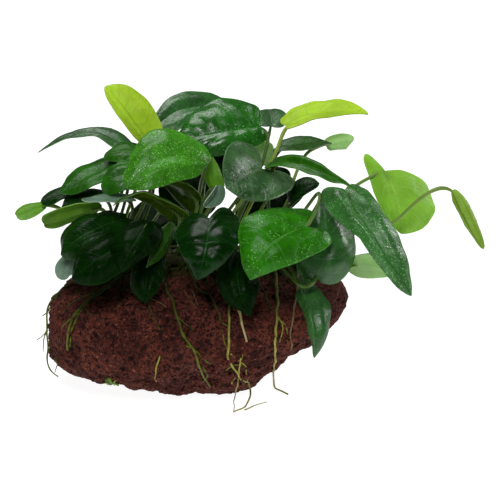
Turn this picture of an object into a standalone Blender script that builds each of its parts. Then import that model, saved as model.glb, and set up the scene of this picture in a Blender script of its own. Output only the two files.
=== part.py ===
"""Anubias on a lava stone: broad-leaved plant whose rhizome and roots grip a porous stone.

Run with: blender --background --python part.py
Origin: the middle of the stone's flat underside, on the surface that it rests on. +Z is up, and the plant's
front faces -Y.

Leaves and roots are laid out as they are seen from the front. A seen point is (right, up, near), in
millimetres: right and up lie in the plane square to the line of sight that holds LOOK_AT, and near is how far
the point stands in front of that plane.
"""

import math

import bmesh
import bpy
from mathutils import Vector, noise
from mathutils.bvhtree import BVHTree

MM = 0.001
TOUCH_GAP = 0.3 * MM

# The eye that the seen points belong to.
EYE_DISTANCE = 1000 * MM
EYE_ELEVATION = math.radians(15)
LOOK_AT = Vector((27.5, 0, 70)) * MM
SEEN_RIGHT = Vector((1, 0, 0))
SEEN_UP = Vector((0, math.sin(EYE_ELEVATION), math.cos(EYE_ELEVATION)))
TOWARDS_EYE = Vector((0, -math.cos(EYE_ELEVATION), math.sin(EYE_ELEVATION)))
EYE = LOOK_AT + TOWARDS_EYE * EYE_DISTANCE

# Stone. The outline is its front elevation, (x, z) in millimetres, counter-clockwise from the right-hand end.
STONE_CENTRE = Vector((1, 0, 28)) * MM
STONE_HALF_DEPTH = 46 * MM
STONE_OUTLINE = (
    (76.5, 44), (73, 54), (62, 57), (40, 58), (10, 57), (-15, 57), (-34, 58), (-50, 55), (-65, 52), (-73, 45),
    (-75, 30), (-74, 15), (-66, 8), (-55, 4), (-42, 4), (-22, -3), (0, -5), (20, -5), (33, 2), (49, 19.5),
    (69.5, 34),
)
STONE_BOXINESS = 0.8
STONE_UNDERCUT = 0.5
STONE_LUMPS = ((24 * MM, 3.4 * MM), (11 * MM, 1.9 * MM))
STONE_LEDGE_SIZE = 16 * MM
STONE_LEDGE_HEIGHT = 1.8 * MM
LEDGE_SHIFT = Vector((7, 3, 5))
# Pits: (spacing, depth, share of a cell that a pit takes).
STONE_PITS = ((15 * MM, 3.2 * MM, 0.42), (8 * MM, 1.8 * MM, 0.5))
STONE_FLATTER_SIDES = 0.55
STONE_FACES_KEPT = 0.4

# Rhizome, along the top of the stone: points of its axis in millimetres.
RHIZOME_AXIS = ((-47, 5, 62.1), (-24, 7, 64.7), (4, 6, 64.9), (32, 7, 65.5), (60, 5, 62.9))
RHIZOME_RADIUS = 5 * MM
RHIZOME_RINGS = 0.09
RHIZOME_STEPS = 14

# Leaves. A blade's grid is (columns across, rows along). A stalk's pulls are shares of its reach: how far it
# runs on as it leaves the rhizome, and as it comes up to the blade from behind and below.
BLADE_THICKNESS = 0.8 * MM
BLADE_GRID = (4, 5)
SMALL_BLADE_GRID = (2, 5)
WIDEST_AT = 0.4
RIDGE_ROUNDING = 1.7
STALK_RADIUS = 0.9 * MM
STALK_END_RADIUS = 0.54 * MM
STALK_RISE = 4 * MM
STALK_STEPS = 4
STALK_PULLS = (0.35, 0.22)
STALK_UNDER_BASE = 0.45 * MM
STALK_UNDER_END = 0.27 * MM
STALK_GRIP = 0.14

# Roots.
ROOT_STEP = 6 * MM
ROOT_CLEARANCE = 1.4 * MM
ROOT_TAPER = 0.4

# Materials: colour and roughness.
LAVA = ((0.14, 0.035, 0.025), 0.95)
BARK = ((0.1, 0.12, 0.03), 0.7)
ROOT_SKIN = ((0.3, 0.28, 0.1), 0.7)
LEAF_TONES = {
    "leaf_dark": ((0.012, 0.07, 0.009), 0.3),
    "leaf_fresh": ((0.05, 0.27, 0.015), 0.3),
    "leaf_pale": ((0.2, 0.42, 0.09), 0.45),
    "leaf_lime": ((0.36, 0.6, 0.02), 0.45),
}

PLANT = "anubias_on_stone"
JOINED = "joined_shapes"

LEAVES = []
ROOTS = []


def leaf(name, base, mid, tip, edges, foot, lobes=(0.16, 0.16), flares=(1, 1), drawn=0.5, bulge=0.035,
         underside=False, via=(), small=False, tone="leaf_dark"):
    """One leaf, by seen points: the blade's base, the middle of its midrib, its tip, and the widest point of
    each edge. foot is where its stalk leaves the rhizome: the x in millimetres, and its lean from upright in
    degrees, towards the front. via holds points on the stalk's way. lobes, one for each edge, and bulge are
    shares of the blade's length, flares say how many times wider than its middle the blade is at each lobe,
    and drawn says how drawn-out the tip is, from 0 to 1. A blade's upper side faces up, or where it stands
    upright the eye, and underside says that it is turned over."""
    LEAVES.append(dict(
        name=name, base=base, mid=mid, tip=tip, edges=edges, foot=foot, lobes=lobes, flares=flares,
        drawn=drawn, bulge=bulge, underside=underside, via=via, small=small, tone=tone,
    ))


def root(name, radius, grows_at, path, on_surface=()):
    """One main root: its radius in millimetres, the x where it leaves the rhizome, the (right, up) points that
    it is seen to pass on the stone, and those on the surface that the stone rests on."""
    ROOTS.append(dict(name=name, radius=radius * MM, grows_at=grows_at, path=path, on_surface=on_surface))


# Upper left of the plant.
leaf("leaf_lime_left", (-52, 55, -6), (-59.5, 66.5, -4), (-72.3, 81.9, -8), ((-64, 64.2, -2), (-49, 71.5, -9)),
     (-38, -20), lobes=(0.05, 0.3), drawn=0.2, tone="leaf_lime")
leaf("leaf_arching_left", (-63, 52, -15), (-78, 58, -19), (-106, 48.7, -21), ((-76, 60.9, -28), (-77, 55.9, -10)),
     (-42, -48), lobes=(0.3, 0.1), drawn=0.7)
leaf("leaf_back_left", (-14, 69, -34), (-30, 71.2, -28), (-50, 58, -17), ((-26, 79.3, -38), (-34, 61, -17)),
     (-12, -62))
leaf("leaf_dark_crown", (5.5, 61.5, -6), (-12, 59, 0), (-38, 54, 0), ((-16.5, 75.5, -16), (-16, 47, 3)), (6, 5),
     lobes=(0.1, 0.18), via=((9.5, 56, -4), (7.5, 49, 0), (6, 42, 0)))
leaf("leaf_wet_left", (-21.5, 43, 20), (-39, 46.5, 28), (-62, 30.5, 34), ((-43, 59, 15), (-41, 32.5, 32)),
     (-6, 15), lobes=(0.08, 0.04), via=((-24, 36, 14), (-26, 25, -1)), tone="leaf_fresh")

# Left side, from the top down.
leaf("leaf_left_upper", (-67, 43, 0), (-79, 38, 1), (-94.5, 28.5, 4), ((-82, 42.5, -10), (-79, 31.5, 10)),
     (-46, -8))
leaf("leaf_left_behind", (-50, 46, 0), (-61, 49.5, 1), (-73.5, 45, 0), ((-61, 53.5, -8), (-61.5, 43, 6)),
     (-34, 8), small=True, tone="leaf_fresh")
leaf("leaf_left_blunt", (-50, 38, 12), (-61, 38, 17), (-74.5, 32, 16), ((-63, 43.5, 9), (-64, 29.5, 22)),
     (-30, 24), drawn=0.2, small=True)
leaf("leaf_far_left", (-101, 23.5, -10), (-109, 20.3, -10), (-117, 17.5, -8),
     ((-110, 22.7, -15), (-111, 15.7, -4)), (-48, -30), lobes=(0.05, 0.05), drawn=0.2, small=True,
     tone="leaf_fresh")
leaf("leaf_far_left_dark", (-85, 31, -9), (-95, 28, -6), (-104, 23, -3), ((-98, 30.5, -13), (-96, 24, 0)),
     (-50, 0), lobes=(0.05, 0.05), small=True)
leaf("leaf_pale_low_left", (-74, 22, 11), (-89, 17, 16), (-103, 13, 19), ((-95, 20.5, 23), (-93, 12.5, 12)),
     (-50, 28), lobes=(0.05, 0.05), tone="leaf_pale")
leaf("leaf_left_dark", (-72.5, 27, 3), (-83, 26, 5), (-94, 21, 7), ((-85, 29.5, -3), (-86, 22, 10)),
     (-44, 14), small=True)
leaf("leaf_left_edge_on", (-60, 26, 16), (-71, 26, 22), (-84, 25.5, 24), ((-71, 28, 13), (-71, 23.5, 31)),
     (-38, 28), small=True)
leaf("leaf_olive_arch", (-34.5, 17, 14), (-50, 26, 26), (-68.5, 22, 34), ((-49, 27.6, 34), (-50, 22, 15)),
     (-25, 50))
leaf("leaf_olive_thin", (-26, 25, 11), (-36, 32, 18), (-48, 32, 24), ((-36, 34.5, 25), (-37, 24.5, 4)),
     (-15, 36), small=True)

# Lower left, hanging in front of the stone.
leaf("leaf_low_left_outer", (-62, 16, 20), (-79, 9.5, 29), (-94.5, -2.5, 26), ((-89.5, 13.5, 19), (-78, 0, 34)),
     (-47, 42))
leaf("leaf_low_left_curled", (-77, 0, 20), (-88.5, -6, 22), (-91.5, -14.5, 22),
     ((-94.5, -4, 16), (-84.5, -11, 27)), (-50, 60), lobes=(0.05, 0.05), underside=True, small=True)
leaf("leaf_low_left", (-61, 5, 35), (-74, -3, 47), (-89, -15, 44), ((-83, 2, 39), (-68, -13.5, 47)), (-43, 58))
leaf("leaf_low_middle_left", (-51, 14, 38), (-58, 3, 50), (-64.5, -11.5, 48), ((-69.5, 4, 42), (-48, 0, 43)),
     (-36, 44))
leaf("leaf_low_narrow", (-39, 14, 26), (-45, 3.5, 33), (-52, -9, 33), ((-48, 3, 26), (-41, 0, 27)), (-31, 60),
     lobes=(0.05, 0.05), small=True)
leaf("leaf_inner_left", (-43, 3, -10), (-42, 8.5, -10), (-42, 14, -10), ((-51, 8, -9), (-33, 8, -9)), (-18, -10),
     lobes=(0.05, 0.05), small=True)
leaf("leaf_low_shaded", (-49, -3, 26), (-51.5, -14, 32), (-52, -26.5, 33), ((-60, -14, 27), (-43, -13, 28)),
     (-38, 74))
leaf("leaf_front_left_glossy", (-20.5, 15.5, 42), (-21.5, 4, 52), (-26.5, -15, 52),
     ((-37.5, 6, 42), (-4, 8.5, 42)), (-9, 52), lobes=(0.3, 0.36), drawn=0.35)
leaf("leaf_front_hanging", (-6, -1, 30), (-6, -16, 41), (0.5, -33, 40), ((-16, -16, 34), (4, -17, 36)), (10, 74))

# Middle of the plant.
leaf("leaf_round_centre", (6, 40.5, 18), (0, 38, 30), (-12, 31, 43), ((-8, 54, 20), (14.5, 26.5, 34)), (18, 30),
     lobes=(0.3, 0.8), drawn=0.1)
leaf("leaf_folded_young", (-16.5, 31, 8), (-18.5, 37.5, 9), (-18.5, 46.5, 4), ((-23.3, 36.8, 8), (-13.8, 35.5, 6)),
     (-3, 14), lobes=(0.05, 0.05), drawn=0.3, small=True, tone="leaf_fresh")
leaf("leaf_inner_middle", (-15, 33, -3), (-15.5, 42, -3), (-13.5, 50.5, -6), ((-19.5, 42, -3), (-10.5, 43, -5)),
     (1, -24), lobes=(0.05, 0.05), small=True)
leaf("leaf_folded_low", (-16.5, 32, 21), (-18, 27, 26), (-23, 21.5, 30), ((-20.5, 27, 31), (-13, 25.5, 24)),
     (0, 34), lobes=(0.05, 0.05), small=True)
leaf("leaf_yellowing", (6, 42.5, -8), (5.5, 49.5, -10), (6, 55.5, -12), ((0.5, 49.5, -9), (11.5, 50, -13)),
     (13, -16), lobes=(0.1, 0.1), small=True, tone="leaf_pale")
leaf("leaf_back_small", (10.5, 62, -26), (10.5, 66.3, -33), (8, 70.3, -43), ((2.5, 68.5, -32), (18.5, 67.5, -35)),
     (18, -50), small=True)

# Right of the plant.
leaf("leaf_lime_right", (18, 62.3, -10), (34, 69, -13), (59.2, 67.7, -12), ((33, 74.2, -23), (34.5, 65.6, -7)),
     (20, -8), lobes=(0.05, 0.05), via=((12.5, 48, -6),), tone="leaf_lime")
leaf("leaf_bright_edge_on", (10.5, 41.5, 14), (24.5, 43.3, 31), (55.5, 28, 48), ((20, 47.7, 22), (24, 40.3, 39)),
     (24, 18), lobes=(0.1, 0.1), flares=(1.3, 1.3), drawn=1, bulge=0.02, via=((13, 34, 8),), tone="leaf_fresh")
leaf("leaf_right_dark", (15.5, 52, -15), (28, 53.5, -15), (41, 53, -17), ((26, 57, -24), (23.5, 49.8, -7)),
     (38, -34), lobes=(0.06, 0.1), drawn=0.8)
leaf("leaf_right_pale_tip", (38, 52.3, -24), (45, 54, -24), (51, 54, -22), ((44, 58, -28), (46.5, 50.3, -19)),
     (44, -50), lobes=(0.05, 0.05), drawn=0.2, underside=True, small=True, tone="leaf_pale")
leaf("leaf_right_small", (20, 23.5, 10), (26, 30, 13), (34.7, 33.3, 12), ((24.5, 35, 6), (28, 28, 17)),
     (30, 6), lobes=(0.1, 0.1), small=True)
leaf("leaf_front_heart", (28, 11.5, 48), (13, 4.5, 59), (0, -15, 58), ((2, 19.5, 44), (25, -6, 56)), (44, 20),
     lobes=(0.45, 0.4), drawn=0.4, via=((33, 20, 36), (34, 28.7, 17)), tone="leaf_fresh")
leaf("leaf_front_right_dark", (33, -14, 34), (38, 0, 35), (35, 26, 15), ((23, -2, 28), (53, 1, 23)), (36, 66),
     lobes=(0.14, 0.14), via=((31, -17, 40), (27, -19.5, 43), (22, -15, 40)))
leaf("leaf_long_wet_right", (47.5, 30, 28), (60, 10.5, 43), (80.7, -23, 46), ((68.4, 17, 36), (54.6, 6.3, 43)),
     (47, 8), lobes=(0.06, 0.2), flares=(1, 2.8), drawn=0.3, via=((44, 23, 14),))
leaf("leaf_translucent_right", (67.5, 39.5, 4), (72.7, 27, 9), (76, 8, 10), ((63.9, 24.6, 4), (91.7, 25, -2)),
     (54, -6), lobes=(0.55, 0.06), drawn=0.3, via=((59.5, 36, 2), (50, 30, 0)), tone="leaf_pale")
leaf("leaf_new_rolled", (101.5, 30, 24), (107, 19.8, 28), (116.8, 0.5, 32), ((104, 18.3, 24), (110, 21.3, 24)),
     (56, 20), lobes=(0.03, 0.03), via=((96, 31.5, 24), (88, 28, 23), (79, 20.5, 20), (70.5, 13, 18)),
     small=True, tone="leaf_pale")
leaf("leaf_pale_low_right", (50.5, -7.5, 20), (60, -8, 24), (73, -11.5, 28), ((65, -2.5, 31), (60, -14, 17)),
     (56, 52), small=True, tone="leaf_pale")
leaf("leaf_hanging_right", (25.8, -19.5, 34), (31.5, -33, 47), (32, -54, 45), ((27, -33.5, 42), (39.2, -26, 37)),
     (26, 72), lobes=(0.02, 0.35), via=((22.5, -12.5, 33), (17.5, -6, 28)))

# Behind the plant, hardly seen from the front.
leaf("leaf_behind_left", (-44, 22, -34), (-50, 12, -50), (-56, -6, -58), ((-63, 14, -46), (-36, 12, -46)),
     (-30, -66))
leaf("leaf_behind_middle", (-26, 38.5, -45), (-33, 30, -56), (-42, 19, -62), ((-43, 37, -54), (-18, 20, -57)),
     (0, -70), lobes=(0.2, 0.2))
leaf("leaf_behind_right", (20, 34, -36), (8, 26, -50), (-6, 12, -58), ((0.5, 35, -48), (16, 17, -48)),
     (36, -72))
leaf("leaf_behind_low_right", (44, 6, -24), (43, -3, -36), (39, -16, -44), ((33, -5, -36), (50, -3, -34)),
     (54, -62))

# Roots, from the left.
root("root_left_edge", 0.9, -46, ((-91, -18), (-98.5, -25), (-101.5, -31), (-101.5, -41), (-101, -49),
                                  (-101.5, -55), (-99.5, -60), (-96, -63)))
root("root_left_green", 1.2, -40, ((-64, -12), (-69, -17), (-75.5, -21.5), (-82, -26.5), (-87, -32),
                                   (-89, -37), (-91.5, -50)))
root("root_pale_left", 0.7, -28, ((-53.5, -21.5), (-48.5, -25), (-44, -27), (-41.5, -29)))
root("root_centre", 1.1, -16, ((-43.5, -15.5), (-42, -21), (-38.5, -26), (-35.5, -35.5), (-33, -43.5),
                               (-28, -50), (-26, -56.5), (-22.5, -64), (-20.5, -68)))
root("root_dark_centre", 1.0, -4, ((-26.5, -20), (-20.5, -22), (-17, -28), (-14.5, -36)))
root("root_cream", 1.2, 18, ((-7, -26), (-5, -33), (-3, -40.5), (-1, -46)))
root("root_to_surface", 0.9, 8, ((-11, -22), (-10.5, -36), (-10.5, -48), (-11, -54.5), (-6.5, -61.5),
                                 (-1, -67)), on_surface=((0, -73), (-3, -78.5), (-8.5, -81)))
root("root_yellow", 1.0, 40, ((14, -32), (12.5, -40.5), (12.5, -49), (12, -59)),
     on_surface=((12.5, -69), (19, -72)))
root("root_right_tan", 0.8, 52, ((22, -30), (20, -43.5), (21, -47), (20.5, -50)))


def seen_at(point):
    """The place in space of a seen point."""
    right, up, near = (value * MM for value in point)
    spread = 1 - near / EYE_DISTANCE
    return LOOK_AT + TOWARDS_EYE * near + (SEEN_RIGHT * right + SEEN_UP * up) * spread


def bezier(points, t):
    """A point on the quadratic or cubic Bezier curve of these control points."""
    while len(points) > 1:
        points = [a.lerp(b, t) for a, b in zip(points, points[1:])]
    return points[0]


def spread_points(points, step):
    """Points about a step apart, along a smooth line through these."""
    spread = [points[0]]
    padded = [points[0] * 2 - points[1], *points, points[-1] * 2 - points[-2]]
    for before, start, end, after in zip(padded, padded[1:], padded[2:], padded[3:]):
        pieces = max(1, round((end - start).length / step))
        pull_in = start + (end - before) / 6
        pull_out = end - (after - start) / 6
        spread += [bezier([start, pull_in, pull_out, end], piece / pieces) for piece in range(1, pieces + 1)]
    return spread


def clear_scene():
    for item in list(bpy.data.objects):
        bpy.data.objects.remove(item)


def new_collection(name):
    collection = bpy.data.collections.new(name)
    bpy.context.scene.collection.children.link(collection)
    return collection


def new_material(name, colour, roughness):
    material = bpy.data.materials.new(name)
    material.use_nodes = True
    shader = material.node_tree.nodes["Principled BSDF"]
    shader.inputs["Base Color"].default_value = (*colour, 1)
    shader.inputs["Roughness"].default_value = roughness
    shader.inputs["Metallic"].default_value = 0
    material.diffuse_color = (*colour, 1)
    return material


def object_of(mesh_builder, name, collection, material):
    """A named object made of a finished bmesh."""
    mesh = bpy.data.meshes.new(name)
    mesh_builder.to_mesh(mesh)
    mesh_builder.free()
    mesh.materials.append(material)
    made = bpy.data.objects.new(name, mesh)
    collection.objects.link(made)
    return made


def tube(name, points, radii, collection, material, bevel_resolution=0):
    """A tube through these points, as a mesh with closed ends."""
    curve = bpy.data.curves.new(name + "_line", "CURVE")
    curve.dimensions = "3D"
    curve.bevel_depth = 1
    curve.bevel_resolution = bevel_resolution
    curve.use_fill_caps = True
    spline = curve.splines.new("POLY")
    spline.points.add(len(points) - 1)
    for knot, point, radius in zip(spline.points, points, radii):
        knot.co = (*point, 1)
        knot.radius = radius
    line = bpy.data.objects.new(name + "_line", curve)
    collection.objects.link(line)
    graph = bpy.context.evaluated_depsgraph_get()
    mesh = bpy.data.meshes.new_from_object(line.evaluated_get(graph))
    bpy.data.objects.remove(line)
    builder = bmesh.new()
    builder.from_mesh(mesh)
    bpy.data.meshes.remove(mesh)
    bmesh.ops.remove_doubles(builder, verts=builder.verts, dist=0.00001)
    bmesh.ops.recalc_face_normals(builder, faces=builder.faces)
    return object_of(builder, name, collection, material)


# Stone


def outline_reach(angle):
    """How far the stone's front outline lies from its centre, at this angle from +X."""
    corners = [Vector(corner) * MM - STONE_CENTRE.xz for corner in STONE_OUTLINE]
    polar = sorted((math.atan2(corner.y, corner.x) % math.tau, corner.length) for corner in corners)
    polar = [(polar[-1][0] - math.tau, polar[-1][1]), *polar, (polar[0][0] + math.tau, polar[0][1])]
    angle %= math.tau
    for (start, near_reach), (end, far_reach) in zip(polar, polar[1:]):
        if start <= angle <= end:
            share = (angle - start) / (end - start)
            return near_reach + (far_reach - near_reach) * share
    return polar[0][1]


def stone_relief(point, facing_front):
    """The stone's lumps, ledges and pits: how far its skin stands out at this point."""
    strength = 1 - STONE_FLATTER_SIDES * (1 - facing_front)
    lumps = sum(height * noise.noise(point / size) for size, height in STONE_LUMPS)
    ledge = STONE_LEDGE_HEIGHT * (0.5 - 2 * abs(noise.noise(point / STONE_LEDGE_SIZE + LEDGE_SHIFT)))
    pits = 0
    for spacing, depth, share in STONE_PITS:
        away = noise.voronoi(point / spacing)[0][0] / share
        pits += depth * max(0, 1 - away)
    return (lumps + ledge) * strength - pits


def stone_point(direction):
    """Where the stone's skin lies in this direction from its centre."""
    across = math.hypot(direction.x, direction.z)
    reach = outline_reach(math.atan2(direction.z, direction.x)) * across ** STONE_BOXINESS / max(across, 1e-6)
    depth = math.copysign(abs(direction.y) ** 0.9, direction.y) * STONE_HALF_DEPTH
    if direction.y < 0:
        depth *= 1 - STONE_UNDERCUT * max(0, -direction.z)
    skin = STONE_CENTRE + Vector((direction.x * reach, depth, direction.z * reach))
    return skin + direction * stone_relief(skin, abs(direction.y))


def build_stone(collection, material):
    """One lump with its skin worked out point by point, thinned, and cut flat where it rests."""
    builder = bmesh.new()
    bmesh.ops.create_icosphere(builder, subdivisions=5, radius=1)
    for vert in builder.verts:
        vert.co = stone_point(vert.co.normalized())
    stone = object_of(builder, "stone", collection, material)
    thin = stone.modifiers.new("thin", "DECIMATE")
    thin.ratio = STONE_FACES_KEPT
    graph = bpy.context.evaluated_depsgraph_get()
    thinned = bpy.data.meshes.new_from_object(stone.evaluated_get(graph))
    stone.modifiers.remove(thin)
    builder = bmesh.new()
    builder.from_mesh(thinned)
    everything = builder.verts[:] + builder.edges[:] + builder.faces[:]
    cut = bmesh.ops.bisect_plane(
        builder, geom=everything, dist=1e-7, plane_co=(0, 0, 0), plane_no=(0, 0, -1), clear_outer=True)
    rim = [item for item in cut["geom_cut"] if isinstance(item, bmesh.types.BMEdge)]
    bmesh.ops.contextual_create(builder, geom=rim)
    bmesh.ops.recalc_face_normals(builder, faces=builder.faces)
    builder.to_mesh(stone.data)
    builder.free()
    bpy.data.meshes.remove(thinned)
    return stone


def surface_of(item):
    """A tree for finding points on an object's surface."""
    graph = bpy.context.evaluated_depsgraph_get()
    return BVHTree.FromObject(item, graph)


# Rhizome


def rhizome_axis(x):
    """The rhizome's axis at this x, in metres."""
    points = [Vector(point) * MM for point in RHIZOME_AXIS]
    for start, end in zip(points, points[1:]):
        if x <= end.x or end is points[-1]:
            return start.lerp(end, (x - start.x) / (end.x - start.x))
    return points[-1]


def build_rhizome(collection, material):
    """The creeping stem, ringed where old leaves have dropped, with rounded ends."""
    first, last = RHIZOME_AXIS[0][0] * MM, RHIZOME_AXIS[-1][0] * MM
    points = []
    radii = []
    for step in range(RHIZOME_STEPS + 1):
        share = step / RHIZOME_STEPS
        x = first + (last - first) * share
        end = min(1, 0.45 + 5 * min(share, 1 - share))
        points.append(rhizome_axis(x))
        radii.append(RHIZOME_RADIUS * end * (1 - RHIZOME_RINGS * (step % 2)))
    return tube("rhizome", points, radii, collection, material, bevel_resolution=1)


# Leaves


def half_outline(t, lobe, flare, drawn):
    """One edge of a blade: (place along the midrib, share of the half width), for t from base to tip. It starts
    back along the lobe, swings out to the widest point, and narrows to a rounded or a drawn-out tip."""
    if t < WIDEST_AT:
        back, out = Vector((-1.5 * lobe, 0.5 * flare)), Vector((-0.4 * lobe, flare))
        place = bezier([Vector((0, 0)), back, out, Vector((WIDEST_AT, 1))], t / WIDEST_AT)
    else:
        narrowing = Vector((1 - 0.16 * drawn, 0.8 - 0.7 * drawn))
        curve = [Vector((WIDEST_AT, 1)), Vector((0.72, 1)), narrowing, Vector((1, 0))]
        place = bezier(curve, (t - WIDEST_AT) / (1 - WIDEST_AT))
    return place.x, place.y


class Blade:
    """The curved surface of one leaf blade."""

    def __init__(self, spec):
        self.base, mid, self.tip = (seen_at(spec[key]) for key in ("base", "mid", "tip"))
        t = WIDEST_AT
        self.bend = (mid - self.base * (1 - t) ** 2 - self.tip * t * t) / (2 * t * (1 - t))
        self.sides = [seen_at(edge) - mid for edge in spec["edges"]]
        self.lobes = list(zip(spec["lobes"], spec["flares"]))
        self.length = (mid - self.base).length + (self.tip - mid).length
        self.drawn, self.bulge = spec["drawn"], spec["bulge"]
        along = self.along(WIDEST_AT)
        self.face = (self.sides[1] - self.sides[0]).cross(along).normalized()
        upper = self.face.dot(SEEN_UP * 0.8 + TOWARDS_EYE * 0.6) > 0
        if upper == spec["underside"]:
            self.sides.reverse()
            self.lobes.reverse()
            self.face.negate()
        self.fall = self.sides[0].dot(self.face)

    def along(self, t):
        t = min(max(t, 0), 1)
        return ((self.bend - self.base) * (1 - t) + (self.tip - self.bend) * t).normalized()

    def midrib(self, t):
        """The midrib, carried straight on past both ends."""
        inside = min(max(t, 0), 1)
        return bezier([self.base, self.bend, self.tip], inside) + self.along(inside) * (t - inside) * self.length

    def at(self, across, t):
        """The surface point at t along the blade, and across from -1 at one edge to 1 at the other."""
        half = 1 if across > 0 else 0
        place, width = half_outline(t, *self.lobes[half], self.drawn)
        side = self.sides[half]
        turn = self.along(WIDEST_AT).rotation_difference(self.along(place))
        inner = self.midrib(t)
        outer = self.midrib(place) + turn @ side * width
        share = abs(across)
        dome = self.bulge * self.length * width * 4 * share * (1 - share)
        rounding = self.fall * width * (share ** RIDGE_ROUNDING - share)
        return inner.lerp(outer, share) + turn @ self.face * (dome + rounding)

    def stalk(self, spec):
        """Points of the stalk, from the rhizome to under the base of the blade."""
        x, lean = spec["foot"]
        lean = math.radians(lean)
        out = Vector((0, -math.sin(lean), math.cos(lean)))
        foot = rhizome_axis(x * MM) + out * (RHIZOME_RADIUS + TOUCH_GAP)
        reach = (self.base - foot).length
        if spec["via"]:
            route = [foot, foot + out * STALK_RISE, *map(seen_at, reversed(spec["via"])), self.base]
            points = spread_points(route, reach / STALK_STEPS)
        else:
            leaving, arriving = STALK_PULLS
            below = (self.along(0) + self.face) * -arriving * reach
            knots = [foot, foot + out * leaving * reach, self.base + below, self.base]
            points = [bezier(knots, step / STALK_STEPS) for step in range(STALK_STEPS + 1)]
        grip = self.midrib(STALK_GRIP) - self.face * STALK_UNDER_END
        return [*points[:-1], self.base - self.face * STALK_UNDER_BASE, grip]


def build_leaf(spec, collection, joined, material):
    """Blade and stalk as one solid."""
    blade = Blade(spec)
    columns, rows = SMALL_BLADE_GRID if spec["small"] else BLADE_GRID
    builder = bmesh.new()
    bmesh.ops.create_grid(builder, x_segments=columns, y_segments=rows, size=1)
    for vert in builder.verts:
        vert.co = blade.at(vert.co.x, (vert.co.y + 1) / 2)
    bmesh.ops.remove_doubles(builder, verts=builder.verts, dist=0.00001)
    made = object_of(builder, spec["name"], collection, material)
    body = made.modifiers.new("thickness", "SOLIDIFY")
    body.thickness = BLADE_THICKNESS
    body.offset = 0
    points = blade.stalk(spec)
    radii = [STALK_RADIUS] * (len(points) - 1) + [STALK_END_RADIUS]
    stalk = tube(spec["name"] + "_stalk", points, radii, joined, material)
    stalk.hide_render = True
    stalk.display_type = "WIRE"
    join = made.modifiers.new("stalk", "BOOLEAN")
    join.operation = "UNION"
    join.solver = "EXACT"
    join.object = stalk
    return made


# Roots


def on_stone(point, skin):
    """Where the line of sight through a seen (right, up) point meets the stone, or passes beside it."""
    target = seen_at((*point, 0))
    hit = skin.ray_cast(EYE, target - EYE)[0]
    beside = skin.find_nearest(target)[0] - LOOK_AT
    return hit or seen_at((*point, beside.dot(TOWARDS_EYE) / MM))


def on_surface(point, height):
    """Where the line of sight through a seen (right, up) point comes down to this height."""
    target = seen_at((*point, 0))
    return EYE.lerp(target, (EYE.z - height) / (EYE.z - target.z))


def clear_of_stone(point, skin, lift):
    """This point, moved out of the stone's skin where it is nearer to it than lift."""
    hit, normal, _, _ = skin.find_nearest(point)
    height = (point - hit).dot(normal)
    return hit + normal * lift if height < lift else point


def build_root(spec, skin, collection, material):
    """A root from the rhizome, laid on the stone where it is seen, and on to the surface below."""
    radius = spec["radius"]
    start = rhizome_axis(spec["grows_at"] * MM) - Vector((0, RHIZOME_RADIUS + radius + 2 * TOUCH_GAP, 0))
    route = [start]
    route += [on_stone(point, skin) for point in spec["path"]]
    route += [on_surface(point, radius + TOUCH_GAP) for point in spec["on_surface"]]
    points = []
    for point in spread_points(route, ROOT_STEP):
        point = clear_of_stone(point, skin, radius + ROOT_CLEARANCE)
        point.z = max(point.z, radius + TOUCH_GAP)
        points.append(point)
    radii = [radius * (1 - ROOT_TAPER * step / len(points)) for step in range(len(points))]
    return tube(spec["name"], points, radii, collection, material)


def main():
    clear_scene()
    plant = new_collection(PLANT)
    joined = new_collection(JOINED)
    joined.hide_render = True
    stone = build_stone(plant, new_material("lava", *LAVA))
    build_rhizome(plant, new_material("rhizome", *BARK))
    greens = {tone: new_material(tone, *look) for tone, look in LEAF_TONES.items()}
    for spec in LEAVES:
        build_leaf(spec, plant, joined, greens[spec["tone"]])
    skin = surface_of(stone)
    root_skin = new_material("root", *ROOT_SKIN)
    for spec in ROOTS:
        build_root(spec, skin, plant, root_skin)


main()
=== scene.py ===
"""Anubias on a lava stone: leaves, rhizome, roots and stone, with their surfaces, light and camera.

Origin: the middle of the stone's flat underside, on the surface that it rests on. +Z is up, and the plant's
front faces -Y.

Leaves and roots are laid out as they are seen from the front. A seen point is (right, up, near), in
millimetres: right and up lie in the plane square to the line of sight that holds LOOK_AT, and near is how
far the point stands in front of that plane.
"""

import math
import random

import bmesh
import bpy
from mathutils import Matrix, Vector, noise
from mathutils.bvhtree import BVHTree


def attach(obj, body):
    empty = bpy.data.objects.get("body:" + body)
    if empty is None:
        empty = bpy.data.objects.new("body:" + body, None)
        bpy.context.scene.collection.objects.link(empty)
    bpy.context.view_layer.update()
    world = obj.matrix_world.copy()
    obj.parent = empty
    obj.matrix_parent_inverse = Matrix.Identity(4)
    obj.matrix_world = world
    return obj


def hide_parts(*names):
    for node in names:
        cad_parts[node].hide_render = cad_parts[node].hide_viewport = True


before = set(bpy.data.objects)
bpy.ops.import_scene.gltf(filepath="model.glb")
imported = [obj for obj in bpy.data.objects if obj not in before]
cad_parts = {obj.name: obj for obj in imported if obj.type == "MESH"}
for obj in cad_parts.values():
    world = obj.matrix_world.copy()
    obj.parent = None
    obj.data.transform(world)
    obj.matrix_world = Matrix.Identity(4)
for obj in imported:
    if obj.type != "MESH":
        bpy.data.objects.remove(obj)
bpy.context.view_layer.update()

MM = 0.001
TOUCH_GAP = 0.3 * MM
TUBE_WELD = 0.005 * MM
BLADE_WELD = 0.01 * MM
BODY = "root"
NOISE_SEED = 5

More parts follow.
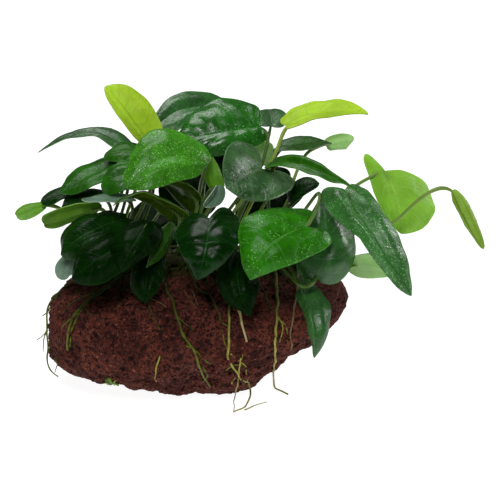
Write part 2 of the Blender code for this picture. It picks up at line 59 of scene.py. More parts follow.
# The eye that the seen points belong to, and the camera's lens.
EYE_DISTANCE = 1000 * MM
EYE_ELEVATION = math.radians(15)
LOOK_AT = Vector((27.5, 0, 70)) * MM
SEEN_RIGHT = Vector((1, 0, 0))
SEEN_UP = Vector((0, math.sin(EYE_ELEVATION), math.cos(EYE_ELEVATION)))
TOWARDS_EYE = Vector((0, -math.cos(EYE_ELEVATION), math.sin(EYE_ELEVATION)))
EYE = LOOK_AT + TOWARDS_EYE * EYE_DISTANCE
FIELD_WIDTH = 250 * MM
SENSOR = 36

# Light: (name, place, size, power). The floor glows, most behind the plant and least in front of it.
WHITE = (1, 1, 1, 1)
LIGHTS = (
    ("light_front", (-0.1, -0.8, 0.9), 0.4, 6.5),
    ("light_above", (-0.15, 0.3, 0.85), 0.5, 4),
    ("light_right", (0.9, 0.5, 0.5), 0.4, 5),
)
WORLD_LIGHT = 0.04
FLOOR_REACH = 6
FLOOR_PALENESS = 0.28
FLOOR_FRONT = (-0.45, -0.12)
FLOOR_BACK = (0.2, 0.9)
FLOOR_GLOW_FRONT = 0.05
FLOOR_GLOW_HERE = 0.94
FLOOR_GLOW_BEHIND = 0.1

# Stone. The outline is its front elevation, (x, z) in millimetres, counter-clockwise from the right end.
STONE_CENTRE = Vector((1, 0, 28)) * MM
STONE_HALF_DEPTH = 46 * MM
STONE_OUTLINE = (
    (76.5, 44), (73, 54), (62, 57), (40, 58), (10, 57), (-15, 57), (-34, 58), (-50, 55), (-65, 52),
    (-73, 45), (-75, 30), (-74, 15), (-66, 8), (-55, 4), (-42, 4), (-22, -3), (0, -5), (20, -5), (33, 2),
    (49, 19.5), (69.5, 34),
)
STONE_BOXINESS = 0.8
STONE_BLUNTNESS = 0.9
STONE_UNDERCUT = 0.5
STONE_LEDGE_SIZE = 16 * MM
STONE_LEDGE_HEIGHT = 1.8 * MM
NOISE_SHIFT = Vector((7, 3, 5))
# Lumps and grit: (size, height).
STONE_LUMPS = ((24 * MM, 3.4 * MM), (11 * MM, 1.9 * MM))
STONE_GRIT = ((5 * MM, 0.8 * MM), (1.8 * MM, 0.4 * MM))
# Pits and pores: (spacing, depth, share of a cell that one takes).
STONE_PITS = ((15 * MM, 3.2 * MM, 0.42), (8 * MM, 1.8 * MM, 0.5))
STONE_PORES = ((3.4 * MM, 1.2 * MM, 0.52), (2 * MM, 0.6 * MM, 0.55))
PORE_BEND = 0.5
STONE_FLATTER_SIDES = 0.55
STONE_SPHERE_LEVEL = 6
STONE_CUTS = 2

# Rhizome, along the top of the stone: points of its axis in millimetres. Its ends start at a share of its
# girth and widen at a rate, and its lumps have a size and a share of its radius.
RHIZOME_AXIS = ((-47, 5, 62.1), (-24, 7, 64.7), (4, 6, 64.9), (32, 7, 65.5), (60, 5, 62.9))
RHIZOME_RADIUS = 5 * MM
RHIZOME_ENDS = (0.2, 8)
RHIZOME_LUMPS = (4 * MM, 0.1)
RHIZOME_RINGS = 0.1
RHIZOME_STEPS = 180
RHIZOME_RING_STEPS = 6

# Leaves.
BLADE_THICKNESS = 0.45 * MM
BLADE_COLUMNS = 36
BLADE_ROWS = 44
WIDEST_AT = 0.4
RIDGE_ROUNDING = 1.7
RAGGEDNESS = 40
WAVE_SIZE = 9 * MM
CRUMPLE_SIZE = 6 * MM
CRUMPLE_HEIGHT = 0.4 * MM
MIDRIB_WIDTH = 0.6 * MM
MIDRIB_DEPTH = 0.3 * MM
CREASE_WIDTH = 0.06
CREASE_HEIGHT = 0.5 * MM
VEINS = 7
VEIN_SWEEP = 0.16
VEIN_BEND = 1.4
ROLL_TURNS = 1.2
ROLL_FULLNESS = 0.45

# Stalks. The pulls are shares of a stalk's reach: how far it runs on as it leaves the rhizome, and as it
# comes up to the blade from behind and below. As shares of its length and its girth, its clasp has a reach
# and a swelling, its knee a place, a width and a swelling, and its end a place and a thinning.
STALK_RADIUS = 0.85 * MM
STALK_RISE = 4 * MM
STALK_STEP = 1.5 * MM
STALK_STEPS = 4
STALK_PULLS = (0.35, 0.22)
STALK_CLASP = (0.12, 0.7)
STALK_KNEE = (0.86, 0.05, 0.22)
STALK_END = (0.9, 0.45)
STALK_UNDER_BASE = 0.7 * MM
STALK_UNDER_END = 0.6 * MM
STALK_GRIP = 0.14
STALK_SMOOTHING = 7

# Roots.
ROOT_STEP = 1.2 * MM
ROOT_TAPER = 0.5
ROOT_FINENESS = 0.8
ROOT_SINK = 0.6
ROOT_WOBBLE = 0.6 * MM
ROOT_WOBBLE_SIZE = 7 * MM
ROOT_KNOTS = 0.25
ROOT_KNOT_SIZE = 3 * MM

# The tangle of fine roots round the rhizome, in millimetres.
TANGLE_STRANDS = 180
TANGLE_SPAN = (-46, 50)
TANGLE_RADII = (0.2, 0.5)
TANGLE_DRIFT = 3.5
TANGLE_SHAKE = 2
TANGLE_STEP = 3.2
TANGLE_STEPS = (3, 7)
RUNNERS = 60
RUNNER_RADII = (0.6, 1.1)
RUNNER_REACH = 28
RUNNER_SPREAD = 7
TANGLE_SEED = 5

# Skins: how far veins stand apart in colour on each side of a blade, the depth of its furrows, its drops,
# which also
#  carry a painted glint in their colour, and the heights between which a root is painted darker, as painted
#  shade under the leaves.
UPPER_VEINING = 0.7
UNDER_VEINING = 0.9
FURROW_DEPTH = 0.12 * MM
DROP_SPACING = 1.25 * MM
DROP_HEIGHT = 0.35 * MM
ROOT_SHADE = (32 * MM, 54 * MM)

# A plain leaf. lobes, one for each edge, and bulge are shares of the blade's length. flares say how many
# times wider than its middle the blade is at each lobe, and drawn how drawn-out its tip is, from 0 to 1.
# via holds points on the stalk's way. wave is how far the edge waves up and down, in millimetres. fold is a
# crease across the first edge's half: the share of the half width at which it starts, the share of the
# length at which it reaches the edge, and how steeply the part beyond it drops, in millimetres over the
# half width.
PLAIN_LEAF = dict(
    lobes=(0.16, 0.16), flares=(1, 1), drawn=0.5, bulge=0.035, underside=False, via=(), look="dark",
    wave=0.7, fold=None, rolled=False)

# A plain look: roughness and gloss, how wet the leaf is, how much light comes through it, how far it swells
# between its side veins in millimetres, how far its colour drifts, and how strongly streaks show on it.
PLAIN_LOOK = dict(rough=0.34, gloss=0.35, wet=0.0, glow=0.08, quilt=0.15, drift=0.3, streaks=0.5)

LEAVES = []
ROOTS = []
STRANDS = []
LOOKS = {}


def leaf(name, base, mid, tip, edges, foot, **shape):
    """One leaf, by seen points: the blade's base, the middle of its midrib, its tip, and the widest point
    of each edge. foot is where its stalk leaves the rhizome: the x in millimetres, and its lean towards the
    front in degrees. shape says what sets it apart from a plain leaf."""
    spec = dict(name="leaf_" + name, base=base, mid=mid, tip=tip, edges=edges, foot=foot, **shape)
    LEAVES.append(dict(PLAIN_LEAF, **spec))


def root(name, radius, grows_at, path, on_surface=(), look="green"):
    """One main root: its radius in millimetres, the x where it leaves the rhizome, the (right, up) points
    that it is seen to pass on the stone, and those on the surface that the stone rests on."""
    ROOTS.append(dict(
        name="root_" + name, radius=radius * MM, grows_at=grows_at, path=path, on_surface=on_surface,
        look=look))


def strand(radius, path, on_surface=(), look="green"):
    """One thin side root, by the same points as a main root."""
    STRANDS.append(dict(radius=radius * MM, path=path, on_surface=on_surface, look=look))


def look(name, slot, upper, under, vein, **skin):
    """How a kind of leaf looks: its slot, and the colours of its two sides and of its veins, which
    its rim shares. skin says what sets it apart from a plain look."""
    colours = dict(upper=upper, under=under, vein=vein, rim=vein)
    LOOKS[name] = {"slot": "leaf_" + slot, **PLAIN_LOOK, **colours, **skin}


# Kinds of leaf.
# The next kind is the dark leaf green darkened further, as painted shade, for leaves that hang low, sit
# inside the plant or stand behind it.
look("deep", "dark", (0.002, 0.014, 0.001), (0.01, 0.03, 0.003), (0.01, 0.045, 0.006), rough=0.25,
     gloss=0.04, glow=0.02)
look("dark", "dark", (0.004, 0.032, 0.002), (0.02, 0.06, 0.004), (0.03, 0.11, 0.02), rough=0.25,
     gloss=0.12)
look("green", "dark", (0.02, 0.14, 0.003), (0.04, 0.12, 0.01), (0.06, 0.22, 0.03), rough=0.28,
     glow=0.15)
look("olive", "dark", (0.014, 0.07, 0.003), (0.05, 0.11, 0.003), (0.08, 0.17, 0.02), rough=0.28,
     gloss=0.2, glow=0.1)
look("glossy", "dark", (0.003, 0.028, 0.002), (0.03, 0.08, 0.01), (0.02, 0.09, 0.02), rough=0.22,
     gloss=0.17, quilt=0.6, streaks=0.1)
look("sheen", "dark", (0.028, 0.125, 0.022), (0.05, 0.13, 0.02), (0.07, 0.2, 0.06), rough=0.3, gloss=0.7,
     glow=0.1, streaks=0.4)
look("cool", "dark", (0.032, 0.115, 0.026), (0.07, 0.15, 0.05), (0.12, 0.22, 0.1), rough=0.34, gloss=0.6,
     wet=0.3, glow=0.12, streaks=0.8)
look("quilted", "dark", (0.017, 0.145, 0.008), (0.05, 0.13, 0.03), (0.03, 0.19, 0.02), rough=0.24,
     gloss=0.75, wet=0.6, quilt=0.8, streaks=0.2)
look("dark_wet", "dark", (0.045, 0.2, 0.034), (0.1, 0.26, 0.04), (0.15, 0.34, 0.12), rough=0.3,
     gloss=0.7, wet=1.0, glow=0.15, streaks=0.6)
# This kind's pale grey-green colours are a painted sheen: the light that leaves held edge-on reflect.
look("silver", "dark", (0.13, 0.23, 0.15), (0.24, 0.37, 0.27), (0.3, 0.42, 0.3), rough=0.4, glow=0.25)
look("wet", "fresh", (0.055, 0.29, 0.01), (0.2, 0.4, 0.08), (0.15, 0.46, 0.05), rough=0.28, gloss=0.45,
     wet=1.0, glow=0.25, drift=0.25)
look("bright", "fresh", (0.025, 0.21, 0.002), (0.15, 0.35, 0.06), (0.1, 0.38, 0.04), rough=0.28,
     gloss=0.3, wet=0.6, glow=0.2, drift=0.25)
look("fresh", "fresh", (0.025, 0.15, 0.003), (0.15, 0.3, 0.03), (0.1, 0.32, 0.04), rough=0.3, glow=0.2,
     drift=0.2)
look("fresh_light", "fresh", (0.15, 0.38, 0.02), (0.2, 0.4, 0.05), (0.2, 0.42, 0.06), glow=0.3,
     drift=0.15)
look("pale", "pale", (0.35, 0.61, 0.07), (0.26, 0.45, 0.16), (0.52, 0.76, 0.2), rough=0.42, glow=0.45,
     drift=0.1, streaks=0.8)
look("pale_grey", "pale", (0.33, 0.5, 0.22), (0.38, 0.55, 0.26), (0.45, 0.6, 0.34), rough=0.42,
     glow=0.45, drift=0.12)
look("pale_olive", "pale", (0.1, 0.3, 0.02), (0.14, 0.3, 0.03), (0.2, 0.4, 0.06), glow=0.3, drift=0.15)
look("young", "pale", (0.3, 0.52, 0.05), (0.3, 0.52, 0.05), (0.4, 0.6, 0.12), rough=0.42, glow=0.25,
     drift=0.12, streaks=0.8, rim=(0.12, 0.05, 0.012))
look("lime", "lime", (0.52, 0.7, 0.05), (0.5, 0.66, 0.06), (0.34, 0.5, 0.02), rough=0.48, glow=0.4,
     drift=0.08)

# Upper left of the plant.
leaf("lime_left", (-52, 55, -6), (-59.5, 66.5, -4), (-72.3, 81.9, -8), ((-64, 64.2, -2), (-49, 71.5, -9)),
     (-38, -20), lobes=(0.05, 0.3), drawn=0.2, look="lime", wave=0.9)
leaf("arching_left", (-63, 52, -15), (-78, 58, -19), (-106, 48.7, -21),
     ((-76, 60.9, -28), (-77, 55.9, -10)), (-42, -48), lobes=(0.3, 0.1), drawn=0.7, look="cool")
leaf("back_left", (-14, 69, -34), (-30, 71.2, -28), (-50, 58, -17), ((-26, 79.3, -38), (-34, 61, -17)),
     (-12, -62), look="sheen")
leaf("dark_crown", (5.5, 61.5, -6), (-12, 59, 0), (-38, 54, 0), ((-16.5, 75.5, -16), (-16, 47, 3)), (6, 5),
     lobes=(0.1, 0.18), via=((9.5, 56, -4), (7.5, 49, 0), (6, 42, 0)), look="quilted", wave=1.0)
leaf("wet_left", (-21.5, 43, 20), (-39, 46.5, 28), (-62, 30.5, 34), ((-43, 59, 15), (-41, 32.5, 32)),
     (-6, 15), lobes=(0.08, 0.04), via=((-24, 36, 14), (-26, 25, -1)), look="wet", wave=2.0)

# Left side, from the top down.
leaf("left_upper", (-67, 43, 0), (-79, 38, 1), (-94.5, 28.5, 4), ((-82, 42.5, -10), (-79, 31.5, 10)),
     (-46, -8), look="green")
leaf("left_behind", (-50, 46, 0), (-61, 49.5, 1), (-73.5, 45, 0), ((-61, 53.5, -8), (-61.5, 43, 6)),
     (-34, 8), look="fresh")
leaf("left_blunt", (-50, 38, 12), (-61, 38, 17), (-74.5, 32, 16), ((-63, 43.5, 9), (-64, 29.5, 22)),
     (-30, 24), drawn=0.2, look="green")
leaf("far_left", (-101, 23.5, -10), (-109, 20.3, -10), (-117, 17.5, -8),
     ((-110, 22.7, -15), (-111, 15.7, -4)), (-48, -30), lobes=(0.05, 0.05), drawn=0.2, look="fresh_light")
leaf("far_left_dark", (-85, 31, -9), (-95, 28, -6), (-104, 23, -3), ((-98, 30.5, -13), (-96, 24, 0)),
     (-50, 0), lobes=(0.05, 0.05))
leaf("pale_low_left", (-74, 22, 11), (-89, 17, 16), (-103, 13, 19), ((-95, 20.5, 23), (-93, 12.5, 12)),
     (-50, 28), lobes=(0.05, 0.05), look="pale_olive")
leaf("left_dark", (-72.5, 27, 3), (-83, 26, 5), (-94, 21, 7), ((-85, 29.5, -3), (-86, 22, 10)),
     (-44, 14))
leaf("left_edge_on", (-60, 26, 16), (-71, 26, 22), (-84, 25.5, 24), ((-71, 28, 13), (-71, 23.5, 31)),
     (-38, 28), look="silver")
leaf("olive_arch", (-34.5, 17, 14), (-50, 26, 26), (-68.5, 22, 34), ((-49, 27.6, 34), (-50, 22, 15)),
     (-25, 50), look="olive")
leaf("olive_thin", (-26, 25, 11), (-36, 32, 18), (-48, 32, 24), ((-36, 34.5, 25), (-37, 24.5, 4)),
     (-15, 36), look="olive")

# Lower left, hanging in front of the stone.
leaf("low_left_outer", (-62, 16, 20), (-79, 9.5, 29), (-94.5, -2.5, 26), ((-89.5, 13.5, 19), (-78, 0, 34)),
     (-47, 42))
leaf("low_left_curled", (-77, 0, 20), (-88.5, -6, 22), (-91.5, -14.5, 22),
     ((-94.5, -4, 16), (-84.5, -11, 27)), (-50, 60), lobes=(0.05, 0.05), underside=True, look="silver")
leaf("low_left", (-61, 5, 35), (-74, -3, 47), (-89, -15, 44), ((-83, 2, 39), (-68, -13.5, 47)), (-43, 58),
     look="deep")
leaf("low_middle_left", (-51, 14, 38), (-58, 3, 50), (-64.5, -11.5, 48), ((-69.5, 4, 42), (-48, 0, 43)),
     (-36, 44), look="deep")
leaf("low_narrow", (-39, 14, 26), (-45, 3.5, 33), (-52, -9, 33), ((-48, 3, 26), (-41, 0, 27)), (-31, 60),
     lobes=(0.05, 0.05), look="olive")
leaf("inner_left", (-43, 3, -10), (-42, 8.5, -10), (-42, 14, -10), ((-51, 8, -9), (-33, 8, -9)), (-18, -10),
     lobes=(0.05, 0.05), look="deep")
leaf("low_shaded", (-49, -3, 26), (-51.5, -14, 32), (-52, -26.5, 33), ((-60, -14, 27), (-43, -13, 28)),
     (-38, 74), look="deep")
leaf("front_left_glossy", (-20.5, 15.5, 42), (-21.5, 4, 52), (-26.5, -15, 52),
     ((-37.5, 6, 42), (-4, 8.5, 42)), (-9, 52), lobes=(0.3, 0.36), drawn=0.35, look="glossy")
leaf("front_hanging", (-6, -1, 30), (-6, -16, 41), (0.5, -33, 40), ((-16, -16, 34), (4, -17, 36)), (10, 74),
     look="deep")

# Middle of the plant.
leaf("round_centre", (6, 40.5, 18), (0, 38, 30), (-12, 31, 43), ((-8, 54, 20), (14.5, 26.5, 34)), (18, 30),
     lobes=(0.3, 0.8), drawn=0.1, look="cool", wave=0.4)
leaf("folded_young", (-16.5, 31, 8), (-18.5, 37.5, 9), (-18.5, 46.5, 4),
     ((-23.3, 36.8, 8), (-13.8, 35.5, 6)), (-3, 14), lobes=(0.05, 0.05), drawn=0.3, look="fresh_light")
leaf("inner_middle", (-15, 33, -3), (-15.5, 42, -3), (-13.5, 50.5, -6), ((-19.5, 42, -3), (-10.5, 43, -5)),
     (1, -24), lobes=(0.05, 0.05), look="deep")
leaf("folded_low", (-16.5, 32, 21), (-18, 27, 26), (-23, 21.5, 30), ((-20.5, 27, 31), (-13, 25.5, 24)),
     (0, 34), lobes=(0.05, 0.05), look="silver")
leaf("yellowing", (6, 42.5, -8), (5.5, 49.5, -10), (6, 55.5, -12), ((0.5, 49.5, -9), (11.5, 50, -13)),
     (13, -16), lobes=(0.1, 0.1), look="pale_grey")
leaf("back_small", (10.5, 62, -26), (10.5, 66.3, -33), (8, 70.3, -43),
     ((2.5, 68.5, -32), (18.5, 67.5, -35)), (18, -50), look="cool")

# Right of the plant.
leaf("lime_right", (18, 62.3, -10), (34, 69, -13), (59.2, 67.7, -12), ((33, 74.2, -23), (34.5, 65.6, -7)),
     (20, -8), lobes=(0.05, 0.05), via=((12.5, 48, -6),), look="lime")
leaf("bright_edge_on", (10.5, 41.5, 14), (24.5, 43.3, 31), (55.5, 28, 48), ((20, 47.7, 22), (24, 40.3, 39)),
     (24, 18), lobes=(0.1, 0.1), flares=(1.3, 1.3), drawn=1, bulge=0.02, via=((13, 34, 8),), look="fresh")
leaf("right_dark", (15.5, 52, -15), (28, 53.5, -15), (41, 53, -17), ((26, 57, -24), (23.5, 49.8, -7)),
     (38, -34), lobes=(0.06, 0.1), drawn=0.8, look="cool")
leaf("right_pale_tip", (38, 52.3, -24), (45, 54, -24), (51, 54, -22), ((44, 58, -28), (46.5, 50.3, -19)),
     (44, -50), lobes=(0.05, 0.05), drawn=0.2, underside=True, look="pale_grey")
leaf("right_small", (20, 23.5, 10), (26, 30, 13), (34.7, 33.3, 12), ((24.5, 35, 6), (28, 28, 17)),
     (30, 6), lobes=(0.1, 0.1))
leaf("front_heart", (28, 11.5, 48), (13, 4.5, 59), (0, -15, 58), ((2, 19.5, 44), (25, -6, 56)), (44, 20),
     lobes=(0.45, 0.4), drawn=0.4, via=((33, 20, 36), (34, 28.7, 17)), look="bright", fold=(0, 0.5, 6))
leaf("front_right_dark", (33, -14, 34), (38, 0, 35), (35, 26, 15), ((23, -2, 28), (53, 1, 23)), (36, 66),
     lobes=(0.14, 0.14), via=((31, -17, 40), (27, -19.5, 43), (22, -15, 40)), look="sheen")
leaf("long_wet_right", (47.5, 30, 28), (60, 10.5, 43), (80.7, -23, 46), ((68.4, 17, 36), (54.6, 6.3, 43)),
     (47, 8), lobes=(0.06, 0.2), flares=(1, 2.8), drawn=0.3, via=((44, 23, 14),), look="dark_wet", wave=0.9)
leaf("translucent_right", (67.5, 39.5, 4), (72.7, 27, 9), (76, 8, 10), ((63.9, 24.6, 4), (91.7, 25, -2)),
     (54, -6), lobes=(0.55, 0.06), drawn=0.3, via=((59.5, 36, 2), (50, 30, 0)), look="pale")
leaf("new_rolled", (101.5, 30, 24), (107, 19.8, 28), (116.8, 0.5, 32), ((104, 18.3, 24), (110, 21.3, 24)),
     (56, 20), lobes=(0.03, 0.03), via=((96, 31.5, 24), (88, 28, 23), (79, 20.5, 20), (70.5, 13, 18)),
     look="young", rolled=True)
leaf("pale_low_right", (50.5, -7.5, 20), (60, -8, 24), (73, -11.5, 28), ((65, -2.5, 31), (60, -14, 17)),
     (56, 52), look="pale_grey")
leaf("hanging_right", (25.8, -19.5, 34), (31.5, -33, 47), (32, -54, 45), ((27, -33.5, 42), (39.2, -26, 37)),
     (26, 72), lobes=(0.02, 0.35), via=((22.5, -12.5, 33), (17.5, -6, 28)), look="sheen")

# Behind the plant, hardly seen from the front.
leaf("behind_left", (-44, 22, -34), (-50, 12, -50), (-56, -6, -58), ((-63, 14, -46), (-36, 12, -46)),
     (-30, -66), look="deep")
leaf("behind_middle", (-26, 38.5, -45), (-33, 30, -56), (-42, 19, -62), ((-43, 37, -54), (-18, 20, -57)),
     (0, -70), lobes=(0.2, 0.2), look="deep")
leaf("behind_right", (20, 34, -36), (8, 26, -50), (-6, 12, -58), ((0.5, 35, -48), (16, 17, -48)),
     (36, -72), look="deep")
leaf("behind_low_right", (44, 6, -24), (43, -3, -36), (39, -16, -44), ((33, -5, -36), (50, -3, -34)),
     (54, -62))

# Roots, from the left.
root("left_edge", 0.9, -46,
     ((-91, -18), (-98.5, -25), (-101.5, -31), (-101.5, -41), (-101, -49), (-101.5, -55), (-99.5, -60),
      (-96, -63)))
root("left_green", 1.2, -40,
     ((-64, -12), (-69, -17), (-75.5, -21.5), (-82, -26.5), (-87, -32), (-89, -37), (-91.5, -50)))
root("pale_left", 0.7, -28, ((-53.5, -21.5), (-48.5, -25), (-44, -27), (-41.5, -29)), look="tan")
root("centre", 1.1, -16,
     ((-43.5, -15.5), (-42, -21), (-38.5, -26), (-35.5, -35.5), (-33, -43.5), (-28, -50), (-26, -56.5),
      (-22.5, -64), (-20.5, -68)))
root("dark_centre", 1.0, -4, ((-26.5, -20), (-20.5, -22), (-17, -28), (-14.5, -36)))
root("cream", 1.2, 18, ((-7, -26), (-5, -33), (-3, -40.5), (-1, -46)), look="cream")
root("to_surface", 0.9, 8, ((-11, -22), (-10.5, -36), (-10.5, -48), (-11, -54.5), (-6.5, -61.5), (-1, -67)),
     on_surface=((0, -73), (-3, -78.5), (-8.5, -81)), look="yellow")
root("yellow", 1.0, 40, ((14, -32), (12.5, -40.5), (12.5, -49), (12, -59)),
     on_surface=((12.5, -69), (19, -72)), look="yellow")
root("right_tan", 0.8, 52, ((22, -30), (20, -43.5), (21, -47), (20.5, -50)), look="tan")

# Thin side roots, from the left.
strand(0.45, ((-95, -22), (-100, -30), (-104, -33)))
strand(0.4, ((-100.5, -37), (-102.5, -42), (-106.5, -45)))
strand(0.4, ((-101, -40), (-103, -44), (-103.5, -51)))
strand(0.35, ((-97.7, -54), (-95.8, -56.5), (-97, -59), (-97.5, -61)))
strand(0.55, ((-70, -17), (-74, -20), (-80.5, -22.7), (-90, -27.5), (-93.5, -31.3)))
strand(0.7, ((-66, -15), (-76, -23), (-83.5, -30), (-87.5, -37), (-90, -48)))
strand(0.45, ((-85.3, -31.3), (-90, -35), (-93.9, -38.9)))
strand(0.35, ((-83.3, -28.4), (-79, -33.2)))
strand(0.3, ((-57, -19), (-58.5, -20.7), (-67, -29.3)), look="tan")
strand(0.45, ((-51, -20), (-51.8, -24.5), (-49, -33), (-45, -39.8)))
strand(0.3, ((-35.5, -34), (-28.8, -39.8)))
strand(0.4, ((-32, -48), (-27, -50.4), (-19.3, -57)))
strand(0.35, ((-24, -58), (-21.2, -62.8), (-24, -66.2)))
strand(0.3, ((-33, -20), (-31.7, -22.6), (-27, -28.8)), look="tan")
strand(0.35, ((-29.5, -20), (-26, -28)), look="tan")
strand(0.45, ((-14, -39.8), (-13, -46.5), (-10.6, -51.3)))
strand(0.5, ((-15, -33), (-13.5, -37), (-10.6, -38.5)))
strand(0.4, ((-5, -54), (-5, -56), (-6, -64.7)), on_surface=((-7.5, -73), (-8.3, -81)), look="yellow")
strand(0.35, ((-9.5, -52), (-2.5, -58), (-1, -65.7)), look="yellow")
strand(0.35, ((-9.2, -66.6), (-5, -58), (-4, -52)), look="yellow")
strand(0.3, ((-12, -60), (-8, -57), (-3, -58)), look="yellow")
strand(0.4, ((7.5, -22.6), (10.4, -28.4), (14.5, -33)))
strand(0.35, ((14, -33), (16.5, -38), (14.5, -46)), look="yellow")
strand(0.3, ((14, -34), (18, -38), (18.5, -42)), look="yellow")
strand(0.3, ((15, -16.9), (19, -24.5)), look="tan")
strand(0.45, ((-44.7, -53), (-47, -60), (-46.5, -65.7)), look="yellow")
strand(0.35, (), on_surface=((-3, -80), (3, -77.5), (8.5, -76)), look="yellow")

# A scrap of moss at the stone's foot.
strand(0.9, ((-71.5, -64.5), (-69, -65.5), (-66, -67)), look="moss")
strand(0.7, ((-72, -66), (-69.5, -67), (-67, -65)), look="moss")
strand(0.6, ((-70.5, -63.5), (-69.5, -65), (-68, -67.5)), look="moss")


def seen_at(point):
    """The place in space of a seen point."""
    right, up, near = (value * MM for value in point)
    spread = 1 - near / EYE_DISTANCE
    return LOOK_AT + TOWARDS_EYE * near + (SEEN_RIGHT * right + SEEN_UP * up) * spread


def bezier(points, t):
    """A point on the quadratic or cubic Bezier curve of these control points."""
    while len(points) > 1:
        points = [a.lerp(b, t) for a, b in zip(points, points[1:])]
    return points[0]


def spread_points(points, step):
    """Points about a step apart, along a smooth line through these."""
    spread = [points[0]]
    padded = [points[0] * 2 - points[1], *points, points[-1] * 2 - points[-2]]
    for before, start, end, after in zip(padded, padded[1:], padded[2:], padded[3:]):
        pieces = max(1, round((end - start).length / step))
        pull_in = start + (end - before) / 6
        pull_out = end - (after - start) / 6
        knots = [start, pull_in, pull_out, end]
        spread += [bezier(knots, piece / pieces) for piece in range(1, pieces + 1)]
    return spread


def smoothed(points, times):
    """These points, with all but the two ends drawn towards their neighbours."""
    for _ in range(times):
        middle = [(before + at + after) / 3 for before, at, after in zip(points, points[1:], points[2:])]
        points = [points[0], *middle, points[-1]]
    return points


def object_of(builder, name, materials):
    """A named, smoothly shaded object made of a finished bmesh."""
    mesh = bpy.data.meshes.new(name)
    builder.to_mesh(mesh)
    builder.free()
    mesh.shade_smooth()
    for material in materials:
        mesh.materials.append(material)
    made = bpy.data.objects.new(name, mesh)
    bpy.context.scene.collection.objects.link(made)
    return made


def add_tube(builder, points, radii, sides=8):
    """Adds a round tube through these points, with closed ends, to a bmesh."""
    curve = bpy.data.curves.new("line", "CURVE")
    curve.dimensions = "3D"
    curve.bevel_depth = 1
    curve.bevel_resolution = sides // 2 - 2
    curve.use_fill_caps = True
    spline = curve.splines.new("POLY")
    spline.points.add(len(points) - 1)
    for knot, point, radius in zip(spline.points, points, radii):
        knot.co = (*point, 1)
        knot.radius = radius
    line = bpy.data.objects.new("line", curve)
    bpy.context.scene.collection.objects.link(line)
    graph = bpy.context.evaluated_depsgraph_get()
    mesh = bpy.data.meshes.new_from_object(line.evaluated_get(graph))
    bpy.data.objects.remove(line)
    builder.from_mesh(mesh)
    bpy.data.meshes.remove(mesh)
    bmesh.ops.remove_doubles(builder, verts=builder.verts, dist=TUBE_WELD)
    bmesh.ops.recalc_face_normals(builder, faces=builder.faces)


def tube_object(name, material, points, radii, sides=8):
    """A named round tube through these points."""
    builder = bmesh.new()
    add_tube(builder, points, radii, sides)
    return object_of(builder, name, [material])


def rides(piece, slot, *nodes):
    """Puts a finished piece on the plant's body, in place of these nodes."""
    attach(piece, BODY)
    if nodes:
        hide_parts(*nodes)


# Stone


def polar_outline():
    """The stone's front outline as (angle from +X, distance from the centre), once round and a bit more."""
    corners = [Vector(corner) * MM - STONE_CENTRE.xz for corner in STONE_OUTLINE]
    polar = sorted((math.atan2(corner.y, corner.x) % math.tau, corner.length) for corner in corners)
    return [(polar[-1][0] - math.tau, polar[-1][1]), *polar, (polar[0][0] + math.tau, polar[0][1])]


POLAR_OUTLINE = polar_outline()


def outline_reach(angle):
    """How far the stone's front outline lies from its centre, at this angle from +X."""
    angle %= math.tau
    for (start, near_reach), (end, far_reach) in zip(POLAR_OUTLINE, POLAR_OUTLINE[1:]):
        if start <= angle <= end:
            share = (angle - start) / (end - start)
            return near_reach + (far_reach - near_reach) * share


def stone_relief(point, facing_front):
    """The stone's lumps, ledges and pits: how far its skin stands out at this point."""
    strength = 1 - STONE_FLATTER_SIDES * (1 - facing_front)
    lumps = sum(height * noise.noise(point / size) for size, height in STONE_LUMPS)
    ledge = STONE_LEDGE_HEIGHT * (0.5 - 2 * abs(noise.noise(point / STONE_LEDGE_SIZE + NOISE_SHIFT)))
    pits = 0
    for spacing, depth, share in STONE_PITS:
        away = noise.voronoi(point / spacing)[0][0] / share
        pits += depth * max(0, 1 - away)
    return (lumps + ledge) * strength - pits


def pores(point):
    """The small open bubbles in the lava and the grit between them: how far the skin stands out here."""
    out = sum(height * noise.noise(point / size) for size, height in STONE_GRIT)
    for spacing, depth, share in STONE_PORES:
        bent = point + noise.noise_vector(point / spacing) * spacing * PORE_BEND
        away = noise.voronoi(bent / spacing)[0][0] / share
        out -= depth * (1 - min(1, away) ** 2)
    return out


def stone_point(direction):
    """Where the stone's skin lies in this direction from its centre."""
    across = math.hypot(direction.x, direction.z)
    angle = math.atan2(direction.z, direction.x)
    reach = outline_reach(angle) * across ** STONE_BOXINESS / max(across, 1e-6)
    depth = math.copysign(abs(direction.y) ** STONE_BLUNTNESS, direction.y) * STONE_HALF_DEPTH
    if direction.y < 0:
        depth *= 1 - STONE_UNDERCUT * max(0, -direction.z)
    skin = STONE_CENTRE + Vector((direction.x * reach, depth, direction.z * reach))
    return skin + direction * (stone_relief(skin, abs(direction.y)) + pores(skin))


def build_stone(material):
    """The lava stone: a finely divided ball drawn out to its form, and cut flat underneath."""
    builder = bmesh.new()
    bmesh.ops.create_icosphere(builder, subdivisions=STONE_SPHERE_LEVEL, radius=1)
    bmesh.ops.subdivide_edges(builder, edges=builder.edges, cuts=STONE_CUTS, use_grid_fill=True)
    for vert in builder.verts:
        vert.co = stone_point(vert.co.normalized())
    everything = builder.verts[:] + builder.edges[:] + builder.faces[:]
    cut = bmesh.ops.bisect_plane(
        builder, geom=everything, dist=1e-7, plane_co=(0, 0, 0), plane_no=(0, 0, -1), clear_outer=True)
    rim = [item for item in cut["geom_cut"] if isinstance(item, bmesh.types.BMEdge)]
    bmesh.ops.holes_fill(builder, edges=rim)
    bmesh.ops.recalc_face_normals(builder, faces=builder.faces)
    stone = object_of(builder, "stone_surface", [material])
    rides(stone, "lava", "stone")
    return stone


def surface_of(item):
    """A tree for finding points on an object's surface."""
    return BVHTree.FromObject(item, bpy.context.evaluated_depsgraph_get())


# Rhizome


